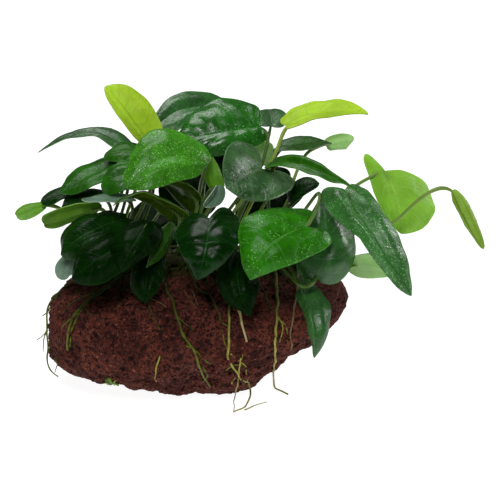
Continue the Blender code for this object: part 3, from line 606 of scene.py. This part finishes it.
def rhizome_axis(x):
    """The rhizome's axis at this x, in metres."""
    points = [Vector(point) * MM for point in RHIZOME_AXIS]
    for start, end in zip(points, points[1:]):
        if x <= end.x or end is points[-1]:
            return start.lerp(end, (x - start.x) / (end.x - start.x))


def build_rhizome(material):
    """The creeping stem, ringed where old leaves have dropped, with rounded ends."""
    first, last = RHIZOME_AXIS[0][0] * MM, RHIZOME_AXIS[-1][0] * MM
    start, rate = RHIZOME_ENDS
    points = []
    radii = []
    for step in range(RHIZOME_STEPS + 1):
        share = step / RHIZOME_STEPS
        x = first + (last - first) * share
        end = math.sqrt(min(1, start + rate * min(share, 1 - share)))
        ring = 0.5 + 0.5 * math.cos(math.tau * step / RHIZOME_RING_STEPS)
        points.append(rhizome_axis(x))
        radii.append(RHIZOME_RADIUS * end * (1 - RHIZOME_RINGS * ring ** 3))
    builder = bmesh.new()
    add_tube(builder, points, radii, sides=24)
    size, height = RHIZOME_LUMPS
    for vert in builder.verts:
        axis = rhizome_axis(vert.co.x)
        vert.co += (vert.co - axis) * height * noise.noise(vert.co / size)
    rhizome = object_of(builder, "rhizome_stem", [material])
    rides(rhizome, "rhizome", "rhizome")


# Leaves


def half_outline(t, lobe, flare, drawn):
    """One edge of a blade: (place along the midrib, share of the half width), for t from base to tip. It
    starts back along the lobe, swings out to the widest point, and narrows to a more or less drawn-out
    tip."""
    if t < WIDEST_AT:
        back, out = Vector((-1.5 * lobe, 0.5 * flare)), Vector((-0.4 * lobe, flare))
        place = bezier([Vector((0, 0)), back, out, Vector((WIDEST_AT, 1))], t / WIDEST_AT)
    else:
        narrowing = Vector((1 - 0.16 * drawn, 0.8 - 0.7 * drawn))
        curve = [Vector((WIDEST_AT, 1)), Vector((0.72, 1)), narrowing, Vector((1, 0))]
        place = bezier(curve, (t - WIDEST_AT) / (1 - WIDEST_AT))
    return place.x, place.y


class Blade:
    """The curved surface of one leaf blade."""

    def __init__(self, spec):
        self.base, mid, self.tip = (seen_at(spec[key]) for key in ("base", "mid", "tip"))
        t = WIDEST_AT
        self.bend = (mid - self.base * (1 - t) ** 2 - self.tip * t * t) / (2 * t * (1 - t))
        self.sides = [seen_at(edge) - mid for edge in spec["edges"]]
        self.lobes = list(zip(spec["lobes"], spec["flares"]))
        self.length = (mid - self.base).length + (self.tip - mid).length
        self.drawn, self.bulge, self.fold = (spec[key] for key in ("drawn", "bulge", "fold"))
        self.wave = spec["wave"] * MM
        self.folded_half = 0
        along = self.along(WIDEST_AT)
        self.face = (self.sides[1] - self.sides[0]).cross(along).normalized()
        upper = self.face.dot(SEEN_UP * 0.8 + TOWARDS_EYE * 0.6) > 0
        if upper == spec["underside"]:
            self.sides.reverse()
            self.lobes.reverse()
            self.face.negate()
            self.folded_half = 1
        self.fall = self.sides[0].dot(self.face)

    def along(self, t):
        """The midrib's direction at t."""
        t = min(max(t, 0), 1)
        return ((self.bend - self.base) * (1 - t) + (self.tip - self.bend) * t).normalized()

    def midrib(self, t):
        """The midrib, carried straight on past both ends."""
        inside = min(max(t, 0), 1)
        past = self.along(inside) * (t - inside) * self.length
        return bezier([self.base, self.bend, self.tip], inside) + past

    def at(self, across, t):
        """The surface point at t along the blade, and across from -1 at one edge to 1 at the other."""
        half = 1 if across > 0 else 0
        place, width = half_outline(t, *self.lobes[half], self.drawn)
        side = self.sides[half]
        ragged = 1 + RAGGEDNESS * self.wave * noise.noise(Vector((6 * t, 5 * half, self.length / MM)))
        turn = self.along(WIDEST_AT).rotation_difference(self.along(place))
        inner = self.midrib(t)
        outer = self.midrib(place) + turn @ side * width * ragged
        share = abs(across)
        dome = self.bulge * self.length * width * math.sin(math.pi * share) ** 2
        rounding = self.fall * width * (share ** RIDGE_ROUNDING - share)
        return inner.lerp(outer, share) + turn @ self.face * (dome + rounding)

    def rolled_at(self, across, t):
        """The same point on a young blade that is still rolled up round its midrib."""
        _, width = half_outline(t, *self.lobes[0], self.drawn)
        girth = (self.sides[1] - self.sides[0]).length / 2 * width ** ROLL_FULLNESS * (1 - 0.12 * across)
        side = (self.sides[1] - self.sides[0]).normalized()
        turn = self.along(WIDEST_AT).rotation_difference(self.along(t))
        angle = across * math.pi * ROLL_TURNS
        return self.midrib(t) + turn @ (side * math.sin(angle) - self.face * math.cos(angle)) * girth

    def relief(self, quilt, across, t, place):
        """How far the surface stands out from its plain curve: the midrib's groove, the swelling between
        the side veins, the waves of its edge, and its fold."""
        share = abs(across)
        fade = min(1, 6 * t, 6 * (1 - t))
        groove = math.exp(-(across * self.sides[0].length / MIDRIB_WIDTH) ** 2) * MIDRIB_DEPTH
        between = 0.5 - 0.5 * math.cos(math.tau * VEINS * (t - VEIN_SWEEP * share ** VEIN_BEND))
        swelling = quilt * math.sqrt(between) * min(1, 3 * share) * (1 - 0.6 * share)
        waves = 2 * self.wave * share ** 2 * noise.noise(place / WAVE_SIZE)
        crumple = CRUMPLE_HEIGHT * noise.noise(place / CRUMPLE_SIZE + NOISE_SHIFT)
        beyond = self.fold_drop(share, t) if self.fold and (across > 0) == self.folded_half else 0
        return (swelling + waves + crumple - groove) * fade - beyond * min(1, 3 * t)

    def fold_drop(self, share, t):
        """How far the half blade drops beyond its fold, less the crease that stands along the fold."""
        start, end, steepness = self.fold
        beyond = share - start - (1 - start) * t / end
        return max(0, beyond) * steepness * MM - CREASE_HEIGHT * math.exp(-(beyond / CREASE_WIDTH) ** 2)

    def stalk(self, spec):
        """Points of the stalk, from the rhizome to under the base of the blade."""
        x, lean = spec["foot"]
        lean = math.radians(lean)
        out = Vector((0, -math.sin(lean), math.cos(lean)))
        foot = rhizome_axis(x * MM) + out * (RHIZOME_RADIUS + TOUCH_GAP)
        reach = (self.base - foot).length
        if spec["via"]:
            route = [foot, foot + out * STALK_RISE, *map(seen_at, reversed(spec["via"])), self.base]
            points = spread_points(route, reach / STALK_STEPS)
        else:
            leaving, arriving = STALK_PULLS
            below = (self.along(0) + self.face) * -arriving * reach
            knots = [foot, foot + out * leaving * reach, self.base + below, self.base]
            points = [bezier(knots, step / STALK_STEPS) for step in range(STALK_STEPS + 1)]
        points[0] -= out * TOUCH_GAP * 3
        grip = self.midrib(STALK_GRIP) - self.face * STALK_UNDER_END
        return [*points[:-1], self.base - self.face * STALK_UNDER_BASE, grip]


def blade_mesh(blade, surface_at, quilt):
    """A grid over the blade, which keeps its own (across, along) places in a UV layer."""
    builder = bmesh.new()
    bmesh.ops.create_grid(builder, x_segments=BLADE_COLUMNS, y_segments=BLADE_ROWS, size=1)
    layer = builder.loops.layers.uv.new("blade")
    places = {vert: (vert.co.x, (vert.co.y + 1) / 2) for vert in builder.verts}
    for face in builder.faces:
        for loop in face.loops:
            across, t = places[loop.vert]
            loop[layer].uv = (across / 2 + 0.5, t)
    for vert, place in places.items():
        vert.co = surface_at(*place)
    builder.normal_update()
    for vert, place in places.items():
        vert.co += vert.normal * blade.relief(quilt, *place, vert.co)
    bmesh.ops.remove_doubles(builder, verts=builder.verts, dist=BLADE_WELD)
    return builder


def build_leaf(spec, materials):
    """Blade and stalk of one leaf. The materials are those of its look."""
    blade = Blade(spec)
    kind = LOOKS[spec["look"]]
    slot = kind["slot"]
    builder = blade_mesh(blade, blade.rolled_at if spec["rolled"] else blade.at, kind["quilt"] * MM)
    sides = [materials[side] for side in ("upper", "under", "rim")]
    made = object_of(builder, spec["name"] + "_blade", sides)
    body = made.modifiers.new("thickness", "SOLIDIFY")
    body.thickness = BLADE_THICKNESS
    body.offset = 0
    body.material_offset = 1
    body.material_offset_rim = 2
    rides(made, slot, spec["name"])
    points = smoothed(spread_points(blade.stalk(spec), STALK_STEP), STALK_SMOOTHING)
    radii = [stalk_radius(step / (len(points) - 1)) for step in range(len(points))]
    rides(tube_object(spec["name"] + "_stalk", materials["stalk"], points, radii, sides=10), slot)


def stalk_radius(share):
    """A stalk is broad where it clasps the rhizome, and swells a little below the blade."""
    reach, swelling = STALK_CLASP
    clasp = 1 + swelling * max(0, 1 - share / reach) ** 2
    place, width, swelling = STALK_KNEE
    knee = 1 + swelling * math.exp(-((share - place) / width) ** 2)
    place, thinning = STALK_END
    end = 1 - thinning * max(0, (share - place) / (1 - place))
    return STALK_RADIUS * clasp * knee * end


# Roots


def on_stone(point, skin):
    """Where the line of sight through a seen (right, up) point meets the stone, or passes beside it."""
    target = seen_at((*point, 0))
    hit = skin.ray_cast(EYE, target - EYE)[0]
    beside = skin.find_nearest(target)[0] - LOOK_AT
    return hit or seen_at((*point, beside.dot(TOWARDS_EYE) / MM))


def on_surface(point, height):
    """Where the line of sight through a seen (right, up) point comes down to this height."""
    target = seen_at((*point, 0))
    return EYE.lerp(target, (EYE.z - height) / (EYE.z - target.z))


def clear_of_stone(point, skin, lift):
    """This point, moved out of the stone's skin where it is nearer to it than lift."""
    hit, normal, _, _ = skin.find_nearest(point)
    height = (point - hit).dot(normal)
    return hit + normal * lift if height < lift else point


def laid(route, radius, skin):
    """A wandering line through these points, laid on the stone or on the surface below, with its radii."""
    points = []
    for point in spread_points(route, ROOT_STEP):
        point = point + noise.noise_vector(point / ROOT_WOBBLE_SIZE) * ROOT_WOBBLE
        point = clear_of_stone(point, skin, radius * ROOT_SINK)
        point.z = max(point.z, radius + TOUCH_GAP)
        points.append(point)
    points = smoothed(points, 2)
    radii = []
    for step, point in enumerate(points):
        knots = 1 + ROOT_KNOTS * noise.noise(point / ROOT_KNOT_SIZE)
        radii.append(radius * (1 - ROOT_TAPER * step / len(points)) * knots)
    return points, radii


def seen_route(spec, skin):
    """The points that a root is seen to pass, on the stone and on the surface below."""
    route = [on_stone(point, skin) for point in spec["path"]]
    return route + [on_surface(point, spec["radius"] + TOUCH_GAP) for point in spec["on_surface"]]


def build_root(spec, skin, materials):
    """A root from the rhizome, laid on the stone where it is seen."""
    start = rhizome_axis(spec["grows_at"] * MM) - Vector((0, RHIZOME_RADIUS, 0))
    points, radii = laid([start, *seen_route(spec, skin)], spec["radius"] * ROOT_FINENESS, skin)
    made = tube_object(spec["name"] + "_skin", materials[spec["look"]], points, radii)
    rides(made, "root", spec["name"])


def build_strands(skin, materials):
    """The thin side roots, one piece for each colour."""
    for name, material in materials.items():
        builder = bmesh.new()
        for spec in STRANDS:
            if spec["look"] == name:
                add_tube(builder, *laid(seen_route(spec, skin), spec["radius"], skin), sides=6)
        if builder.verts:
            rides(object_of(builder, "side_roots_" + name, [material]), "root")
        else:
            builder.free()


def build_tangle(skin, material):
    """Fine roots round the rhizome: strands that run down over the stone, and runners along it."""
    rng = random.Random(TANGLE_SEED)
    builder = bmesh.new()
    for _ in range(TANGLE_STRANDS):
        radius, route = tangle_strand(rng, skin)
        add_tube(builder, *laid(route, radius, skin), sides=6)
    for number in range(RUNNERS):
        route = runner_route(rng, below=number % 2)
        add_tube(builder, *laid(route, rng.uniform(*RUNNER_RADII) * MM, skin), sides=6)
    rides(object_of(builder, "root_tangle", [material]), "root")


def tangle_strand(rng, skin):
    """The radius and the route of one fine root, mostly down the front of the stone."""
    x = rng.uniform(*TANGLE_SPAN) * MM
    radius = rng.uniform(*TANGLE_RADII) * MM
    out = rng.choice((-1, -1, 1))
    turn = rng.uniform(-0.5, 0.4) * math.pi
    point = rhizome_axis(x) + Vector((0, out * math.cos(turn), math.sin(turn))) * RHIZOME_RADIUS
    drift = rng.uniform(-TANGLE_DRIFT, TANGLE_DRIFT)
    route = [point]
    for _ in range(rng.randint(*TANGLE_STEPS)):
        sideways = drift + rng.uniform(-TANGLE_SHAKE, TANGLE_SHAKE)
        point = point + Vector((sideways, out * TANGLE_STEP, -TANGLE_STEP)) * MM
        point = clear_of_stone(point, skin, radius)
        route.append(point)
    return radius, route


def runner_route(rng, below):
    """A route along the rhizome, on its skin or on the stone below it."""
    start = rng.uniform(TANGLE_SPAN[0], TANGLE_SPAN[1] - RUNNER_REACH)
    turn = rng.uniform(-0.1, 1.1) * math.pi
    aside = Vector((0, math.cos(turn), math.sin(turn))) * RHIZOME_RADIUS
    if below:
        aside = Vector((0, rng.uniform(-RUNNER_SPREAD, RUNNER_SPREAD) * MM, -RHIZOME_RADIUS))
    return [rhizome_axis((start + share * RUNNER_REACH) * MM) + aside for share in (0, 0.3, 0.6, 1)]


# Materials


class Tree:
    """Short ways to build a material's nodes."""

    def __init__(self, name):
        self.material = bpy.data.materials.new(name)
        self.material.use_nodes = True
        self.nodes = self.material.node_tree.nodes
        self.links = self.material.node_tree.links
        self.shader = self.nodes["Principled BSDF"]

    def put(self, socket, value):
        """Links a socket to another, or gives it a value."""
        if isinstance(value, bpy.types.NodeSocket):
            self.links.new(value, socket)
        elif value is not None:
            socket.default_value = value

    def node(self, kind, output=0, values=(), **settings):
        made = self.nodes.new("ShaderNode" + kind)
        for key, value in settings.items():
            setattr(made, key, value)
        for place, value in dict(values).items():
            self.put(made.inputs[place], value)
        return made.outputs[output]

    def math(self, operation, first, second=None, third=None):
        return self.node("Math", 0, {0: first, 1: second, 2: third}, operation=operation)

    def ramp(self, value, start, end, low=0.0, high=1.0):
        """The value taken from start..end to low..high, smoothly, and held there outside."""
        return self.node("MapRange", 0, {0: value, 1: start, 2: end, 3: low, 4: high},
                         interpolation_type="SMOOTHSTEP")

    def mix(self, share, first, second, blend="MIX"):
        made = self.nodes.new("ShaderNodeMix")
        made.data_type = "RGBA"
        made.blend_type = blend
        self.put(made.inputs[0], share)
        for socket, value in ((made.inputs[6], first), (made.inputs[7], second)):
            self.put(socket, (*value, 1) if isinstance(value, tuple) else value)
        return made.outputs[2]

    def place(self):
        return self.node("TexCoord", "Object")

    def noise(self, size, detail=3, roughness=0.55, output="Fac"):
        return self.node("TexNoise", output, {"Vector": self.place(), "Scale": 1 / size, "Detail": detail,
                                              "Roughness": roughness})

    def cells(self, size, bend=0.0):
        """Distance to the nearest of scattered points about a size apart, in a space bent by noise."""
        place = self.place()
        if bend:
            wander = {0: self.noise(size, 2, output="Color"), 1: (bend * size,) * 3}
            push = self.node("VectorMath", 0, wander, operation="MULTIPLY")
            place = self.node("VectorMath", 0, {0: place, 1: push}, operation="ADD")
        return self.node("TexVoronoi", "Distance", {"Vector": place, "Scale": 1 / size})

    def bump(self, height, distance, normal=None):
        return self.node("Bump", 0, {"Height": height, "Distance": distance, "Normal": normal})

    def finish(self, colour, roughness, normal=None, **values):
        """Fills the shader's own sockets. values are named after them, with underscores for spaces."""
        self.put(self.shader.inputs["Base Color"], colour)
        self.put(self.shader.inputs["Roughness"], roughness)
        self.put(self.shader.inputs["Normal"], normal)
        for key, value in values.items():
            self.put(self.shader.inputs[key.replace("_", " ").title().replace("Ior", "IOR")], value)
        return self.material


def scaled(colour, factor):
    """A colour made lighter or darker by a factor."""
    return tuple(min(1, value * factor) for value in colour)


def vein_lines(tree):
    """Shares of edge, midrib, side veins and fine streaks at each point of a blade, from its own grid."""
    grid = {"Vector": tree.node("UVMap", 0, uv_map="blade")}
    across = tree.node("SeparateXYZ", "X", grid)
    along = tree.node("SeparateXYZ", "Y", grid)
    across = tree.math("ABSOLUTE", tree.math("MULTIPLY_ADD", across, 2.0, -1.0))
    edge = tree.ramp(across, 0.93, 0.99)
    midrib = tree.ramp(across, 0.015, 0.05, 1.0, 0.0)
    swept = tree.math("MULTIPLY", tree.math("POWER", across, VEIN_BEND), VEIN_SWEEP)
    phase = tree.math("MULTIPLY", tree.math("SUBTRACT", along, swept), float(VEINS))
    phase = tree.math("ADD", phase, tree.math("MULTIPLY_ADD", tree.noise(6 * MM, 2), 0.3, -0.15))
    side = tree.ramp(tree.math("PINGPONG", phase, 0.5), 0.0, 0.08, 1.0, 0.0)
    beside = tree.node("CombineXYZ", 0, {
        "X": tree.math("MULTIPLY", phase, 5.0), "Y": tree.math("MULTIPLY", across, 4.0),
        "Z": tree.math("MULTIPLY", tree.noise(30 * MM, 1), 9.0)})
    streaks = tree.ramp(tree.node("TexNoise", 0, {"Vector": beside, "Scale": 1.0, "Detail": 4}), 0.5, 0.68)
    return edge, midrib, side, streaks


def blade_material(name, colour, kind, veining):
    """One side of a blade: its colour drifts, its veins stand apart, drops lie on it where it is wet,
    lighter in colour as a painted glint, and light comes through it."""
    tree = Tree(name)
    edge, midrib, side, streaks = vein_lines(tree)
    low, high = scaled(colour, 1 - kind["drift"]), scaled(colour, 1 + kind["drift"])
    base = tree.mix(tree.ramp(tree.noise(12 * MM, 3), 0.35, 0.65), low, high)
    base = tree.mix(tree.ramp(tree.noise(1.4 * MM, 4), 0.35, 0.75, 0.0, kind["drift"]), base, low)
    for lines, share in ((streaks, 0.3), (side, 0.4), (midrib, 0.8)):
        base = tree.mix(tree.math("MULTIPLY", lines, share * veining), base, kind["vein"])
    base = tree.mix(tree.math("MULTIPLY", edge, 0.6 * veining), base, kind["rim"])
    furrows = tree.math("MULTIPLY_ADD", streaks, kind["streaks"], tree.math("MULTIPLY", side, 0.5))
    skin = tree.bump(furrows, FURROW_DEPTH)
    skin = tree.bump(tree.noise(1.1 * MM, 4), 0.1 * MM, skin)
    roughness = tree.ramp(tree.noise(2.5 * MM, 4), 0.3, 0.7, kind["rough"] * 0.7, kind["rough"] * 1.3)
    if kind["wet"]:
        drop = tree.ramp(tree.cells(DROP_SPACING, 0.7), 0.27, 0.36, 1.0, 0.0)
        reach = 0.66 - 0.34 * kind["wet"]
        drops_with_painted_glints = tree.math("MULTIPLY", drop, tree.ramp(tree.noise(7 * MM, 3), reach, reach + 0.12))
        # Painted glint: where drops lie, the colour turns lighter, as the light that they catch.
        base = tree.mix(tree.math("MULTIPLY", drops_with_painted_glints, 0.65), base, scaled(kind["vein"], 2))
        skin = tree.bump(drops_with_painted_glints, DROP_HEIGHT, skin)
        roughness = tree.math("MULTIPLY_ADD", drops_with_painted_glints, -0.6 * kind["rough"], roughness)
    tree.finish(base, roughness, skin, ior=1.4, specular_ior_level=kind["gloss"])
    through = tree.node("BsdfTranslucent", 0, {"Color": tree.mix(0.6, base, high, "ADD"), "Normal": skin})
    mixed = tree.node("MixShader", 0, {0: kind["glow"], 1: tree.shader.outputs[0], 2: through})
    tree.links.new(mixed, tree.nodes["Material Output"].inputs[0])
    return tree.material


def plain_green(name, colour, spots):
    """A stalk's or a blade rim's skin: one green, drifting towards another."""
    tree = Tree(name)
    base = tree.mix(tree.ramp(tree.noise(5 * MM, 3), 0.35, 0.65), colour, spots)
    skin = tree.bump(tree.noise(1.5 * MM, 3), 0.1 * MM)
    return tree.finish(base, 0.4, skin, ior=1.4)


STALK_GREENS = {
    "leaf_dark": ((0.035, 0.1, 0.006), (0.07, 0.14, 0.012)),
    "leaf_fresh": ((0.09, 0.2, 0.02), (0.15, 0.22, 0.03)),
    "leaf_pale": ((0.15, 0.3, 0.035), (0.2, 0.3, 0.05)),
    "leaf_lime": ((0.28, 0.42, 0.035), (0.24, 0.34, 0.04)),
}


def leaf_materials():
    """The materials of each kind of leaf."""
    made = {}
    for name, kind in LOOKS.items():
        made[name] = dict(
            upper=blade_material("upper_" + name, kind["upper"], kind, UPPER_VEINING),
            under=blade_material("under_" + name, kind["under"], kind, UNDER_VEINING),
            rim=plain_green("rim_" + name, kind["rim"], scaled(kind["rim"], 1.3)),
            stalk=plain_green("stalk_" + name, *STALK_GREENS[kind["slot"]]),
        )
    return made


ROOT_COLOURS = {
    "green": ((0.02, 0.026, 0.003), (0.14, 0.17, 0.012)),
    "tan": ((0.12, 0.07, 0.03), (0.24, 0.17, 0.08)),
    "cream": ((0.34, 0.28, 0.1), (0.5, 0.44, 0.22)),
    "yellow": ((0.07, 0.08, 0.01), (0.38, 0.36, 0.07)),
    "moss": ((0.07, 0.15, 0.01), (0.17, 0.28, 0.03)),
}


def root_material(name, dark, light):
    """A root's skin, painted darker high up, as painted shade under the leaves."""
    tree = Tree(name)
    height = tree.node("SeparateXYZ", "Z", {"Vector": tree.place()})
    base = tree.mix(tree.ramp(tree.noise(2.5 * MM, 4), 0.25, 0.6), dark, light)
    # Painted shade: between these heights the skin turns to its dark colour, where the leaves shade it.
    base = tree.mix(tree.ramp(height, *ROOT_SHADE, 0.0, 0.75), base, dark)
    skin = tree.bump(tree.noise(0.8 * MM, 4), 0.25 * MM)
    return tree.finish(base, 0.55, skin, specular_ior_level=0.2)


def rhizome_material():
    """The rhizome's skin, mottled olive and brown."""
    tree = Tree("rhizome_skin")
    base = tree.mix(tree.ramp(tree.noise(4 * MM, 5), 0.3, 0.7), (0.025, 0.03, 0.008), (0.09, 0.075, 0.03))
    skin = tree.bump(tree.noise(1.5 * MM, 5), 0.5 * MM)
    return tree.finish(base, 0.65, skin)


# Lava colours: two tones of the stone's own, a painted highlight for its raised points, and painted shade
# for its low points, pores and hollows.
LAVA = {
    "dark": (0.08, 0.017, 0.011),
    "light": (0.15, 0.036, 0.022),
    "painted_highlight": (0.3, 0.085, 0.055),
    "shade": (0.02, 0.006, 0.004),
    "painted_pore_shade": (0.012, 0.004, 0.004),
    "painted_hollow_shade": (0.014, 0.005, 0.005),
}


def lava_material():
    """Reddish brown lava, with painted highlights on the raised points of its fine relief and painted shade
    in its low points, near black in its pores, cracks and hollows.
    """
    tree = Tree("lava_stone")
    fine = tree.noise(2.2 * MM, 6, 0.7)
    base = tree.mix(tree.ramp(tree.noise(16 * MM, 3), 0.35, 0.65), LAVA["dark"], LAVA["light"])
    # Painted highlight on the raised points of the fine relief, which the bump also raises.
    base = tree.mix(tree.ramp(fine, 0.56, 0.68), base, LAVA["painted_highlight"])
    # Painted shade on the low points of the same relief.
    base = tree.mix(tree.ramp(fine, 0.34, 0.47, 1.0, 0.0), base, LAVA["shade"])
    large = tree.ramp(tree.cells(1.9 * MM, 1.2), 0.2, 0.3, 1.0, 0.0)
    small = tree.ramp(tree.cells(0.95 * MM, 1.0), 0.22, 0.34, 1.0, 0.0)
    cracks = tree.ramp(tree.noise(1.6 * MM, 3, 0.6), 0.38, 0.44, 1.0, 0.0)
    hole_depth_and_painted_shade = tree.math("MAXIMUM", tree.math("MAXIMUM", large, cracks), tree.math("MULTIPLY", small, 0.75))
    # Painted shade, near black, in the pores and cracks that the bump sinks.
    base = tree.mix(tree.math("MULTIPLY", hole_depth_and_painted_shade, 0.9), base, LAVA["painted_pore_shade"])
    # Painted shade in hollows, where the surface curves inward.
    painted_hollow_shade = tree.node("NewGeometry", "Pointiness")
    base = tree.mix(tree.ramp(painted_hollow_shade, 0.5, 0.43), base, LAVA["painted_hollow_shade"])
    skin = tree.bump(tree.math("SUBTRACT", fine, hole_depth_and_painted_shade), 1.1 * MM)
    return tree.finish(base, 0.9, skin, specular_ior_level=0.2)


def floor_material():
    """A pale floor that glows, most where it lies behind the plant."""
    tree = Tree("floor")
    depth = tree.node("SeparateXYZ", "Y", {"Vector": tree.place()})
    here = tree.ramp(depth, *FLOOR_FRONT, FLOOR_GLOW_FRONT, FLOOR_GLOW_HERE)
    glow = tree.math("ADD", here, tree.ramp(depth, *FLOOR_BACK, 0.0, FLOOR_GLOW_BEHIND))
    pale = (FLOOR_PALENESS, FLOOR_PALENESS, FLOOR_PALENESS, 1)
    return tree.finish(pale, 0.9, emission_color=WHITE, emission_strength=glow)


# Surroundings


def aim(item, place, target):
    """Puts a light or camera at a place, looking at a target."""
    item.location = place
    item.rotation_mode = "QUATERNION"
    item.rotation_quaternion = (Vector(target) - Vector(place)).to_track_quat("-Z", "Y")
    bpy.context.scene.collection.objects.link(item)


def build_floor():
    """The white surface that the stone rests on."""
    builder = bmesh.new()
    bmesh.ops.create_grid(builder, x_segments=1, y_segments=1, size=FLOOR_REACH)
    object_of(builder, "floor", [floor_material()])


def build_lights():
    """Square soft lights round the plant, and a faint light from all sides."""
    for name, place, size, power in LIGHTS:
        data = bpy.data.lights.new(name, "AREA")
        data.shape = "SQUARE"
        data.size = size
        data.energy = power
        aim(bpy.data.objects.new(name, data), place, LOOK_AT)
    world = bpy.data.worlds.new("surroundings")
    bpy.context.scene.world = world
    world.use_nodes = True
    world.node_tree.nodes["Background"].inputs[0].default_value = WHITE
    world.node_tree.nodes["Background"].inputs[1].default_value = WORLD_LIGHT


def build_camera():
    """The eye that the seen points belong to."""
    data = bpy.data.cameras.new("camera")
    data.sensor_width = SENSOR
    data.lens = SENSOR * EYE_DISTANCE / FIELD_WIDTH
    camera = bpy.data.objects.new("camera", data)
    aim(camera, EYE, LOOK_AT)
    bpy.context.scene.camera = camera
    bpy.context.scene.view_settings.view_transform = "Standard"


def main():
    """Builds everything, with the same noise each time."""
    noise.seed_set(NOISE_SEED)
    stone = build_stone(lava_material())
    build_rhizome(rhizome_material())
    materials = leaf_materials()
    for spec in LEAVES:
        build_leaf(spec, materials[spec["look"]])
    skin = surface_of(stone)
    root_materials = {name: root_material("root_" + name, *pair) for name, pair in ROOT_COLOURS.items()}
    for spec in ROOTS:
        build_root(spec, skin, root_materials)
    build_strands(skin, root_materials)
    build_tangle(skin, root_materials["green"])
    build_floor()
    build_lights()
    build_camera()


main()
